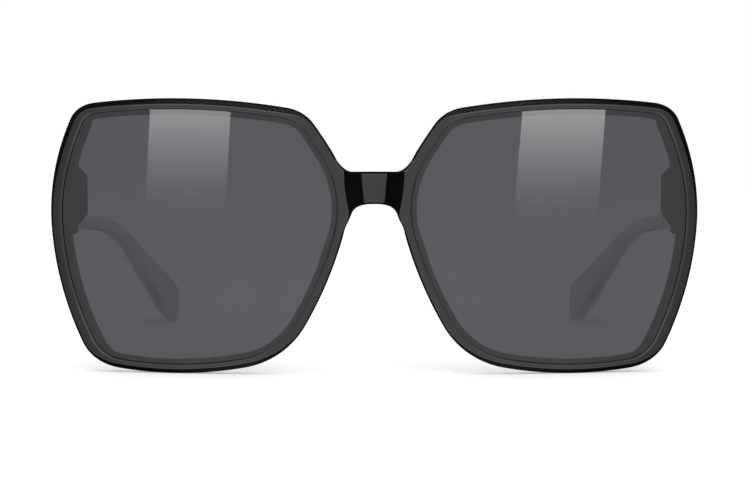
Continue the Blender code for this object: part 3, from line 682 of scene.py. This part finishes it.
# Temples
def curve_through(rows):
    """Rows of numbers joined by a smooth curve through each row."""
    rows = np.array(rows)
    slopes = np.gradient(rows, rows[:, 0], axis=0)
    found = []
    for index in range(len(rows) - 1):
        run = rows[index + 1, 0] - rows[index, 0]
        for share in np.arange(TEMPLE_STEPS) / TEMPLE_STEPS:
            rest = 1 - share
            start = (1 + 2 * share) * rest**2 * rows[index] + share * rest**2 * run * slopes[index]
            end_weight = share**2 * (3 - 2 * share)
            end = end_weight * rows[index + 1] - share**2 * rest * run * slopes[index + 1]
            found.append(start + end)
    found.append(rows[-1])
    return np.array(found)


def temple_line():
    """Down the temple: rows of y, its middle's height, its own height, its middle's x and its thickness."""
    shares = curve_through(TEMPLE_SHARES)
    sink = TEMPLE_ROOT_CENTRE - TIP_RADIUS
    return np.column_stack(
        [
            TEMPLE_ROOT + shares[:, 0] * TEMPLE_REACH,
            TEMPLE_ROOT_CENTRE - shares[:, 1] * sink,
            shares[:, 2] * TEMPLE_ROOT_HEIGHT,
            ENDPIECE_OUTER - shares[:, 4] * TEMPLE_THICKNESS / 2 - shares[:, 3] * TEMPLE_TOE_IN,
            shares[:, 4] * TEMPLE_THICKNESS,
        ]
    )


def temple_headings(line):
    """The direction of each section's height in the Y-Z plane, upright at the root and square at the tip."""
    slopes = np.arctan(np.gradient(line[:, 1], line[:, 0]))
    shares = (line[:, 0] - TEMPLE_ROOT) / TEMPLE_REACH
    lean_run = TEMPLE_LEAN_END_SHARE - TEMPLE_LEAN_START_SHARE
    lean = slopes * smooth_step((shares - TEMPLE_LEAN_START_SHARE) / lean_run)
    return np.column_stack([-np.sin(lean), np.cos(lean)])


def temple_section(side, row, up, height, thickness):
    """A rectangle with rounded corners, square to the temple's run."""
    corners = np.array([(1, -1), (1, 1), (-1, 1), (-1, -1)]) * (thickness / 2, height / 2)
    radius = min(TEMPLE_ROUND, height * TEMPLE_ROUND_SHARE, thickness * TEMPLE_ROUND_SHARE)
    section = rounded(corners, [radius] * len(corners))
    return [(side * (row[3] + x), row[0] + up[0] * rise, row[1] + up[1] * rise) for x, rise in section]


def temple(side):
    line = temple_line()
    ups = temple_headings(line)
    rings = []
    for angle in QUARTER_TURN:
        inset = END_EDGE_ROUND * (1 - math.sin(angle))
        row = line[0].copy()
        row[0] += END_EDGE_ROUND * (1 - math.cos(angle))
        rings.append(temple_section(side, row, ups[0], row[2] - 2 * inset, row[4] - 2 * inset))
    rings.extend(temple_section(side, row, up, row[2], row[4]) for row, up in zip(line[1:], ups[1:]))
    last, up = line[-1], ups[-1]
    inward = (line[-1, 3] - line[-2, 3]) / (line[-1, 0] - line[-2, 0])
    for angle in np.linspace(0, math.pi / 2, TIP_STEPS + 2)[1:-1]:
        ahead = TIP_RADIUS * math.sin(angle)
        row = last.copy()
        row[0] += ahead * up[1]
        row[1] -= ahead * up[0]
        row[3] += ahead * up[1] * inward
        shrink = math.cos(angle)
        rings.append(temple_section(side, row, up, last[2] * shrink, last[4] * math.sqrt(shrink)))
    return loft(rings)


# Hinges
def screw_hole(sizes, placing):
    """The room for a countersunk screw whose head's top is placed here, with its fit and a run-out above."""
    radius, head_radius, head_height, length = sizes
    profile = (
        (radius + SCREW_FIT, -length - SCREW_FIT),
        (radius + SCREW_FIT, -head_height - SCREW_FIT),
        (head_radius + SCREW_FIT, 0),
        (head_radius + SCREW_FIT, CUT_OVERRUN),
    )
    angles = np.arange(SCREW_STEPS) * math.tau / SCREW_STEPS
    bm = loft([[(r * math.cos(a), r * math.sin(a), z) for a in angles] for r, z in profile])
    bmesh.ops.transform(bm, matrix=placing, verts=bm.verts)
    return solid("hole", bm)


def pivot_placing(side):
    return Matrix.Translation((side * AXIS_X, AXIS_Y, HINGE_CENTRE + HINGE_HEIGHT / 2))


def mount_placings(side, direction):
    """Where the two screws of a leaf go: heads on the leaf's inner face, shanks pointing outward."""
    middle = AXIS_Y + direction * (KNUCKLE_REACH + LEAF_LENGTH / 2)
    heading = Matrix.Rotation(-side * math.pi / 2, 4, "Y")
    for step in (-1, 1):
        height = HINGE_CENTRE + step * MOUNT_SCREW_SPACING / 2
        yield Matrix.Translation((side * LEAF_FACES[direction], middle, height)) @ heading


def hinge_cuts(side, direction):
    """The notch for the knuckles, the recess for the leaf and the holes for its screws, as cutting shapes."""
    face = LEAF_FACES[direction]
    bottom = HINGE_CENTRE - HINGE_HEIGHT / 2 - LEAF_FIT
    top = HINGE_CENTRE + HINGE_HEIGHT / 2 + LEAF_FIT
    near = AXIS_Y - direction * CUT_OVERRUN
    notch_end = AXIS_Y + direction * KNUCKLE_REACH
    recess_end = notch_end + direction * (LEAF_LENGTH + LEAF_FIT)
    for end, deep in ((notch_end, AXIS_X + KNUCKLE_REACH), (recess_end, face + LEAF_THICKNESS + LEAF_FIT)):
        low = (face - CUT_OVERRUN, min(near, end), bottom)
        high = (deep, max(near, end), top)
        yield solid("recess", box(side, low, high))
    for placing in mount_placings(side, direction):
        yield screw_hole(MOUNT_SCREW, placing)


def knuckle_outline(strip_low, strip_high, direction):
    """A knuckle seen along the screw: a circle with a strip running off to its leaf along Y."""
    reach = direction * (KNUCKLE_REACH + LEAF_THICKNESS)
    start = math.asin(strip_low / KNUCKLE_RADIUS)
    end = math.asin(strip_high / KNUCKLE_RADIUS)
    turns = np.linspace(start, end - math.tau, KNUCKLE_STEPS)
    arc = [(KNUCKLE_RADIUS * math.sin(a), direction * KNUCKLE_RADIUS * math.cos(a)) for a in turns]
    return [(strip_low, reach), *arc, (strip_high, reach)]


def hinge_leaf(name, side, direction, knuckles):
    """A leaf: a plate on the end piece or temple, with knuckles on strips that run from it to the axis."""
    strip_low = LEAF_FACES[direction] - AXIS_X
    strip_high = strip_low + LEAF_THICKNESS
    bottom = HINGE_CENTRE - HINGE_HEIGHT / 2
    near = AXIS_Y + direction * KNUCKLE_REACH
    far = near + direction * LEAF_LENGTH
    low = (AXIS_X + strip_low, min(near, far), bottom)
    high = (AXIS_X + strip_high, max(near, far), bottom + HINGE_HEIGHT)
    leaf = solid(name, box(side, low, high))
    outline = knuckle_outline(strip_low, strip_high, direction)
    barrels = []
    for index in knuckles:
        start = bottom + index * (KNUCKLE_HEIGHT + KNUCKLE_GAP)
        heights = (start, start + KNUCKLE_HEIGHT)
        rings = [[(side * (AXIS_X + x), AXIS_Y + y, z) for x, y in outline] for z in heights]
        barrels.append(solid("barrel", loft(rings)))
    combine(leaf, barrels, "UNION")
    holes = [screw_hole(PIVOT_SCREW, pivot_placing(side))]
    holes.extend(screw_hole(MOUNT_SCREW, placing) for placing in mount_placings(side, direction))
    combine(leaf, holes, "DIFFERENCE")
    edges = leaf.modifiers.new("edges", "BEVEL")
    edges.width = LEAF_BEVEL
    edges.segments = LEAF_BEVEL_STEPS
    edges.limit_method = "ANGLE"
    edges.angle_limit = math.radians(LEAF_BEVEL_CREASE)
    settle(leaf)
    return leaf


# Geometry and material node trees
def add_node(tree, kind, values=None, **settings):
    """Adds a node, sets what is given on it, and links or fills its inputs by their names."""
    node = tree.nodes.new(kind)
    for key, value in settings.items():
        setattr(node, key, value)
    for name, value in (values or {}).items():
        socket = node.inputs[name]
        if isinstance(value, bpy.types.NodeSocket):
            tree.links.new(value, socket)
        else:
            socket.default_value = value
    return node


def worked_out(tree, operation, first, second=0.0):
    """The result of one math node."""
    return add_node(tree, "ShaderNodeMath", {0: first, 1: second}, operation=operation).outputs[0]


def screw_tree():
    """Screws on points: each has a shank, a countersunk head with a broken edge, and a driver slot."""
    tree = bpy.data.node_groups.new("screws_on_points", "GeometryNodeTree")
    sockets = [("Points", "Geometry"), ("Slot", "Vector"), ("Material", "Material")]
    sockets.extend((name, "Float") for name in (*SCREW_MEASURES, "Edge"))
    for name, kind in sockets:
        tree.interface.new_socket(name, in_out="INPUT", socket_type=f"NodeSocket{kind}")
    tree.interface.new_socket("Screws", in_out="OUTPUT", socket_type="NodeSocketGeometry")
    given = add_node(tree, "NodeGroupInput").outputs

    def turned_piece(low_radius, high_radius, low, high):
        values = {
            "Vertices": SCREW_STEPS,
            "Radius Top": high_radius,
            "Radius Bottom": low_radius,
            "Depth": worked_out(tree, "SUBTRACT", high, low),
        }
        cone = add_node(tree, "GeometryNodeMeshCone", values).outputs["Mesh"]
        lift = add_node(tree, "ShaderNodeCombineXYZ", {"Z": low}).outputs[0]
        return add_node(tree, "GeometryNodeTransform", {"Geometry": cone, "Translation": lift}).outputs[0]

    lows = (worked_out(tree, "MULTIPLY", given[name], -1.0) for name in ("Head Height", "Edge", "Length"))
    below_top, edge_low, end = lows
    crown = worked_out(tree, "SUBTRACT", given["Head Radius"], given["Edge"])
    inside = worked_out(tree, "MULTIPLY", edge_low, SHANK_SUNK_SHARE)
    parts = (
        turned_piece(given["Shank Radius"], given["Shank Radius"], end, inside),
        turned_piece(given["Shank Radius"], given["Head Radius"], below_top, edge_low),
        turned_piece(given["Head Radius"], crown, edge_low, 0.0),
    )
    boolean = "GeometryNodeMeshBoolean"
    whole = add_node(tree, boolean, operation="UNION", solver="EXACT")
    for part in parts:
        tree.links.new(part, whole.inputs["Mesh 2"])
    slot = add_node(tree, "GeometryNodeMeshCube", {"Size": given["Slot"]}).outputs["Mesh"]
    cut = add_node(tree, boolean, {"Mesh 1": whole.outputs["Mesh"]}, operation="DIFFERENCE", solver="EXACT")
    tree.links.new(slot, cut.inputs["Mesh 2"])
    heading = add_node(tree, "GeometryNodeInputNamedAttribute", {"Name": "heading"}, data_type="FLOAT_VECTOR")
    values = {"Vector": heading.outputs["Attribute"]}
    aim = add_node(tree, "FunctionNodeAlignRotationToVector", values, axis="Z").outputs[0]
    index = add_node(tree, "GeometryNodeInputIndex").outputs[0]
    turn = worked_out(tree, "MULTIPLY", index, SLOT_TURN)
    values = {"Rotation": aim, "Rotate By": add_node(tree, "ShaderNodeCombineXYZ", {"Z": turn}).outputs[0]}
    spin = add_node(tree, "FunctionNodeRotateRotation", values, rotation_space="LOCAL")
    values = {"Points": given["Points"], "Instance": cut.outputs["Mesh"], "Rotation": spin.outputs[0]}
    copies = add_node(tree, "GeometryNodeInstanceOnPoints", values).outputs[0]
    real = add_node(tree, "GeometryNodeRealizeInstances", {"Geometry": copies}).outputs[0]
    values = {"Geometry": real, "Material": given["Material"]}
    painted = add_node(tree, "GeometryNodeSetMaterial", values).outputs[0]
    add_node(tree, "NodeGroupOutput", {"Screws": painted})
    return tree


def screws(name, tree, placings, sizes, material):
    """One mesh of screws, a head at each placing, from the node tree. The slots run out past the heads."""
    bm = bmesh.new()
    headings = bm.verts.layers.float_vector.new("heading")
    for placing in placings:
        vert = bm.verts.new(placing.to_translation())
        vert[headings] = placing.to_3x3() @ Vector((0, 0, 1))
    obj = solid(name, bm)
    growth = obj.modifiers.new("screws", "NODES")
    growth.node_group = tree
    names = {item.name: item.identifier for item in tree.interface.items_tree if item.in_out == "INPUT"}
    values = dict(zip(SCREW_MEASURES, sizes))
    slot = (SCREW_SLOT_WIDTH, SLOT_LENGTH_SHARE * values["Head Radius"], 2 * SCREW_SLOT_DEPTH)
    values.update({"Edge": SCREW_EDGE, "Slot": slot, "Material": material})
    for key, value in values.items():
        growth[names[key]] = value
    settle(obj)
    return obj


# Materials
def linear(hexadecimal):
    """A colour written as six hexadecimal digits, as the linear values that shaders take."""
    shares = [int(hexadecimal[place : place + 2], 16) / 255 for place in (0, 2, 4)]
    return (*(s / 12.92 if s <= 0.04045 else ((s + 0.055) / 1.055) ** 2.4 for s in shares), 1.0)


def new_material(name, **values):
    """A material with a Principled shader, its node tree, and the shader."""
    material = bpy.data.materials.new(name)
    material.use_nodes = True
    tree = material.node_tree
    shader = tree.nodes["Principled BSDF"]
    for key, value in values.items():
        shader.inputs[key.replace("_", " ")].default_value = value
    return material, tree, shader


def noise(tree, size, detail, stretch=(1, 1, 1)):
    """A noise pattern whose features have about this real size in the object's own space."""
    place = add_node(tree, "ShaderNodeTexCoord").outputs["Object"]
    scaled = add_node(tree, "ShaderNodeMapping", {"Vector": place, "Scale": stretch}).outputs["Vector"]
    values = {"Vector": scaled, "Scale": 1 / size, "Detail": detail}
    return add_node(tree, "ShaderNodeTexNoise", values).outputs["Fac"]


def spread(tree, value, low, high):
    """A noise value, which keeps near one half, spread over a range."""
    values = {"Value": value, "From Min": NOISE_LOW, "From Max": NOISE_HIGH, "To Min": low, "To Max": high}
    return add_node(tree, "ShaderNodeMapRange", values).outputs["Result"]


def clouded(tree, shader, size, detail, first, second):
    """Lets the colour drift between two shades in clouds of about this real size."""
    clouds = spread(tree, noise(tree, size, detail), 0.0, 1.0)
    mix = add_node(tree, "ShaderNodeMix", {"Factor": clouds}, data_type="RGBA")
    # More than one of its inputs is named A or B, so the colours go by number
    mix.inputs[6].default_value = linear(first)
    mix.inputs[7].default_value = linear(second)
    tree.links.new(mix.outputs[2], shader.inputs["Base Color"])


def roughened(tree, shader, pattern, low, high):
    tree.links.new(spread(tree, pattern, low, high), shader.inputs["Roughness"])


def bumped(tree, shader, height, distance):
    values = {"Height": height, "Distance": distance}
    tree.links.new(add_node(tree, "ShaderNodeBump", values).outputs["Normal"], shader.inputs["Normal"])


def black_acetate():
    """Cellulose acetate sheet, milled and tumble-polished: black, with faint clouds and polishing waves."""
    material, tree, shader = new_material("black_acetate_polished", IOR=1.52)
    clouded(tree, shader, 9 * MM, 3.0, "0A0A0C", "121215")
    roughened(tree, shader, noise(tree, 2.5 * MM, 4.0), 0.045, 0.085)
    bumped(tree, shader, noise(tree, 4 * MM, 1.0), 0.002 * MM)
    return material


def satin_acetate():
    """The same acetate left satin where the nose pads touch the skin."""
    material, tree, shader = new_material("black_acetate_satin", IOR=1.52)
    clouded(tree, shader, 5 * MM, 3.0, "0D0D0F", "17171A")
    roughened(tree, shader, noise(tree, 0.8 * MM, 5.0), 0.22, 0.34)
    bumped(tree, shader, noise(tree, 0.3 * MM, 3.0), 0.004 * MM)
    return material


def tinted_lens():
    """Polycarbonate, moulded and dyed smoke grey: clear, smooth, and a little uneven in polish."""
    material, tree, shader = new_material("smoke_polycarbonate", Transmission_Weight=1.0, IOR=1.586)
    clouded(tree, shader, 14 * MM, 1.0, "413F47", "434149")
    roughened(tree, shader, noise(tree, 6 * MM, 2.0), 0.0, 0.012)
    return material


def nickel_silver():
    """Nickel silver, stamped and tumbled: pale grey with a fine scratched grain."""
    material, tree, shader = new_material("nickel_silver_tumbled", Metallic=1.0)
    clouded(tree, shader, 1.2 * MM, 4.0, "B9B5AC", "CFCCC4")
    grain = noise(tree, 0.15 * MM, 3.0, (1, 1, 6))
    roughened(tree, shader, grain, 0.2, 0.34)
    bumped(tree, shader, grain, 0.002 * MM)
    return material


# Studio
def glowing(name, bm, receivers, strength_of, clear=True):
    """A shape that only these pieces mirror and nothing else sees, as bright as its nodes work out. A clear
    one adds its light to a ray and lets it go on."""
    obj = linked(name, mesh_of(name, bm))
    material = bpy.data.materials.new(f"{name}_light")
    material.use_nodes = True
    material.cycles.emission_sampling = "NONE"
    tree = material.node_tree
    tree.nodes.clear()
    surface = add_node(tree, "ShaderNodeEmission", {"Strength": strength_of(tree)}).outputs[0]
    if clear:
        beyond = add_node(tree, "ShaderNodeBsdfTransparent").outputs[0]
        surface = add_node(tree, "ShaderNodeAddShader", {0: beyond, 1: surface}).outputs[0]
    add_node(tree, "ShaderNodeOutputMaterial", {"Surface": surface})
    obj.data.materials.append(material)
    obj.light_linking.receiver_collection = receivers
    for rays in ("camera", "diffuse", "transmission", "shadow"):
        setattr(obj, f"visible_{rays}", False)
    obj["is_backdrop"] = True
    return obj


def stepped(tree, value, stops):
    """A smooth curve through rows of position and brightness, along a value from 0 to 1."""
    ramp = add_node(tree, "ShaderNodeValToRGB", {"Fac": value})
    ramp.color_ramp.interpolation = "EASE"
    elements = ramp.color_ramp.elements
    for index, (place, level) in enumerate(stops):
        element = elements[index] if index < 2 else elements.new(place)
        element.position = place
        element.color = (level, level, level, 1.0)
    return ramp.outputs["Color"]


def light_tent(name, receivers, radius, around_stops, above_stops, clear):
    def strength(tree):
        place = add_node(tree, "ShaderNodeTexCoord").outputs["Object"]
        parts = add_node(tree, "ShaderNodeSeparateXYZ", {"Vector": place}).outputs
        across = worked_out(tree, "ABSOLUTE", parts["X"])
        ahead = worked_out(tree, "MULTIPLY", parts["Y"], -1.0)
        turn = worked_out(tree, "DIVIDE", worked_out(tree, "ARCTAN2", across, ahead), math.pi)
        level = worked_out(tree, "ARCSINE", worked_out(tree, "DIVIDE", parts["Z"], radius))
        height = worked_out(tree, "ADD", worked_out(tree, "DIVIDE", level, math.pi), 0.5)
        around = stepped(tree, turn, [(degrees / 180, value) for degrees, value in around_stops])
        above = stepped(tree, height, [(degrees / 180 + 0.5, value) for degrees, value in above_stops])
        return worked_out(tree, "MULTIPLY", around, above)

    bm = bmesh.new()
    bmesh.ops.create_uvsphere(bm, u_segments=TENT_SEGMENTS, v_segments=TENT_RINGS, radius=radius)
    glowing(name, bm, receivers, strength, clear).location.y = FRONT_Y


def mirrored_point(camera, column, row):
    """Where the camera's ray through a pixel goes after the face of the lens mirrors it."""
    eye = camera.matrix_world.translation
    across = (column - PHOTO_MIDDLE_COLUMN) * PHOTO_PIXEL
    down = (row - PHOTO_HEIGHT / 2) * PHOTO_PIXEL
    ray = (camera.matrix_world.to_3x3() @ Vector((across, -down, -CAMERA_DISTANCE))).normalized()
    hit = eye
    for _ in range(MIRROR_ROUNDS):
        reach = (FRONT_Y + LENS_FACE + bow(hit.x) - eye.y) / ray.y
        hit = eye + ray * reach
    normal = Vector((hit.x / FRONT_BOW_RADIUS, -1, 0)).normalized()
    return hit + ray.reflect(normal) * WINDOW_DISTANCE


def window(camera, lenses, name, pixels, strength):
    """A softbox that the lenses mirror as the pale patch between these pixels, brightest at its top."""
    bm = bmesh.new()
    glows = bm.verts.layers.float.new("glow")
    top_left, top_right, bottom_right, bottom_left = (np.array(pixel, float) for pixel in pixels)
    rows = []
    for fall in np.linspace(0, 1, WINDOW_ROWS):
        start = top_left + (bottom_left - top_left) * fall
        end = top_right + (bottom_right - top_right) * fall
        row = []
        for share in np.linspace(0, 1, WINDOW_COLUMNS):
            vert = bm.verts.new(mirrored_point(camera, *(start + (end - start) * share)))
            vert[glows] = (1 - fall) ** WINDOW_FALL
            row.append(vert)
        rows.append(row)
    for low, high in zip(rows, rows[1:]):
        for corners in zip(low, low[1:], high[1:], high):
            bm.faces.new(corners)

    def brightness(tree):
        level = add_node(tree, "ShaderNodeAttribute", attribute_name="glow").outputs["Fac"]
        return worked_out(tree, "MULTIPLY", level, strength)

    glowing(name, bm, lenses, brightness)


def area_lamp(name, place, target, size, power):
    lamp = bpy.data.lights.new(name, "AREA")
    lamp.shape = "RECTANGLE"
    lamp.size, lamp.size_y = size
    lamp.energy = power
    obj = linked(name, lamp)
    obj.location = place
    obj.rotation_euler = (Vector(target) - Vector(place)).to_track_quat("-Z", "Y").to_euler()
    obj.visible_glossy = False


def table_top():
    """A pale table that stays white where nothing shades it. Gloss mirrors the tents in place of it."""
    bm = bmesh.new()
    bmesh.ops.create_grid(bm, x_segments=1, y_segments=1, size=FLOOR_SIZE / 2)
    floor = linked("table_top", mesh_of("table_top", bm))
    floor.location.z = -FLOOR_DROP
    floor.visible_glossy = False
    material, tree, shader = new_material("white_laminate", Roughness=0.9, Specular_IOR_Level=0.0)
    shader.inputs["Base Color"].default_value = linear("E8E8E8")
    ray = add_node(tree, "ShaderNodeLightPath").outputs
    seen = ray["Is Camera Ray"]
    for name in ("Is Glossy Ray", "Is Transmission Ray"):
        seen = worked_out(tree, "MAXIMUM", seen, ray[name])
    shader.inputs["Emission Color"].default_value = (1, 1, 1, 1)
    tree.links.new(worked_out(tree, "MULTIPLY", seen, FLOOR_LIFT), shader.inputs["Emission Strength"])
    floor.data.materials.append(material)
    floor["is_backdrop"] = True


def white_world():
    """White where it is seen, mirrored or looked at through a lens, and dimmer where it lights the table."""
    world = bpy.data.worlds.new("white_room")
    bpy.context.scene.world = world
    world.use_nodes = True
    tree = world.node_tree
    tree.nodes.clear()
    diffuse = add_node(tree, "ShaderNodeLightPath").outputs["Is Diffuse Ray"]
    values = {"Value": diffuse, "To Min": 1.0, "To Max": AMBIENT_LEVEL}
    level = add_node(tree, "ShaderNodeMapRange", values).outputs["Result"]
    sky = add_node(tree, "ShaderNodeBackground", {"Color": (1, 1, 1, 1), "Strength": level}).outputs[0]
    add_node(tree, "ShaderNodeOutputWorld", {"Surface": sky})


def photo_camera():
    camera = bpy.data.cameras.new("photo_camera")
    camera.sensor_width = SENSOR_WIDTH
    camera.lens = SENSOR_WIDTH * CAMERA_DISTANCE / (PHOTO_PIXEL * PHOTO_WIDTH)
    camera.shift_x = (PHOTO_WIDTH / 2 - PHOTO_MIDDLE_COLUMN) / PHOTO_WIDTH
    camera.clip_start = CAMERA_NEAR
    obj = linked("photo_camera", camera)
    back = CAMERA_DISTANCE * math.cos(CAMERA_PITCH)
    rise = CAMERA_DISTANCE * math.sin(CAMERA_PITCH)
    obj.location = (0, FRONT_Y + CAMERA_AIM_SETBACK - back, CAMERA_AIM_HEIGHT + rise)
    obj.rotation_euler = (math.pi / 2 - CAMERA_PITCH, 0, 0)
    bpy.context.scene.camera = obj
    bpy.context.view_layer.update()
    return obj


# Assembly
def build_front(acetate, satin, tint, metal, tree):
    front = solid("front", rim(1))
    shapes = [solid("rim", rim(-1)), solid("bridge_piece", bridge())]
    shapes.extend(solid("end_piece", end_piece(side)) for _, side in SIDES)
    combine(front, shapes, "UNION")
    for _, side in SIDES:
        combine(front, hinge_cuts(side, -1), "DIFFERENCE")
    finish_piece(front, FRONT_CREASE, acetate, "black_acetate", "front", "front_frame")
    for label, side in SIDES:
        glass = solid(f"{label}_tinted_lens", lens(side))
        finish_piece(glass, LENS_CREASE, tint, "grey_lens", "front", f"{label}_lens")
        pad = solid(f"{label}_pad", nose_pad(side))
        finish_piece(pad, PAD_CREASE, satin, "black_acetate", "front", f"{label}_nose_pad")
        leaf = hinge_leaf(f"{label}_front_leaf", side, -1, (0, 2))
        finish_piece(leaf, LEAF_CREASE, metal, "hinge_metal", "front", f"{label}_front_hinge")
    placings = [placing for _, side in SIDES for placing in mount_placings(side, -1)]
    fixed = screws("front_leaf_screws", tree, placings, MOUNT_SCREW, metal)
    names = [f"{label}_front_hinge_{level}_screw" for label, _ in SIDES for level in ("lower", "upper")]
    finish_piece(fixed, SCREW_CREASE, metal, "hinge_metal", "front", *names)
    pivots = screws("pivot_screws", tree, [pivot_placing(side) for _, side in SIDES], PIVOT_SCREW, metal)
    names = [f"{label}_hinge_screw" for label, _ in SIDES]
    finish_piece(pivots, SCREW_CREASE, metal, "hinge_metal", "front", *names)


def build_arm(label, side, acetate, metal, tree):
    body = f"{label}_arm"
    arm = solid(f"{label}_side_arm", temple(side))
    combine(arm, hinge_cuts(side, 1), "DIFFERENCE")
    finish_piece(arm, TEMPLE_CREASE, acetate, "black_acetate", body, f"{label}_temple")
    leaf = hinge_leaf(f"{label}_temple_leaf", side, 1, (1,))
    finish_piece(leaf, LEAF_CREASE, metal, "hinge_metal", body, f"{label}_temple_hinge")
    fixed = screws(f"{label}_temple_screws", tree, mount_placings(side, 1), MOUNT_SCREW, metal)
    names = [f"{label}_temple_hinge_{level}_screw" for level in ("lower", "upper")]
    finish_piece(fixed, SCREW_CREASE, metal, "hinge_metal", body, *names)
    cover(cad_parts[f"{label}_core_wire"], metal)


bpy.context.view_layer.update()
bpy.context.scene.view_settings.view_transform = "Standard"
acetate, satin, tint, metal = black_acetate(), satin_acetate(), tinted_lens(), nickel_silver()
tree = screw_tree()
build_front(acetate, satin, tint, metal, tree)
for label, side in SIDES:
    build_arm(label, side, acetate, metal, tree)

camera = photo_camera()
white_world()
table_top()
receivers = {kind: bpy.data.collections.new(f"{kind}_pieces") for kind in TENTS}
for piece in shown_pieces():
    kind = piece.name.rpartition("_")[2]
    receivers.get(kind, receivers["frame"]).objects.link(piece)
for kind, tent in TENTS.items():
    light_tent(f"{kind}_tent", receivers[kind], *tent)
for row in WINDOWS:
    window(camera, receivers["lens"], *row)
for row in LAMPS:
    area_lamp(*row)
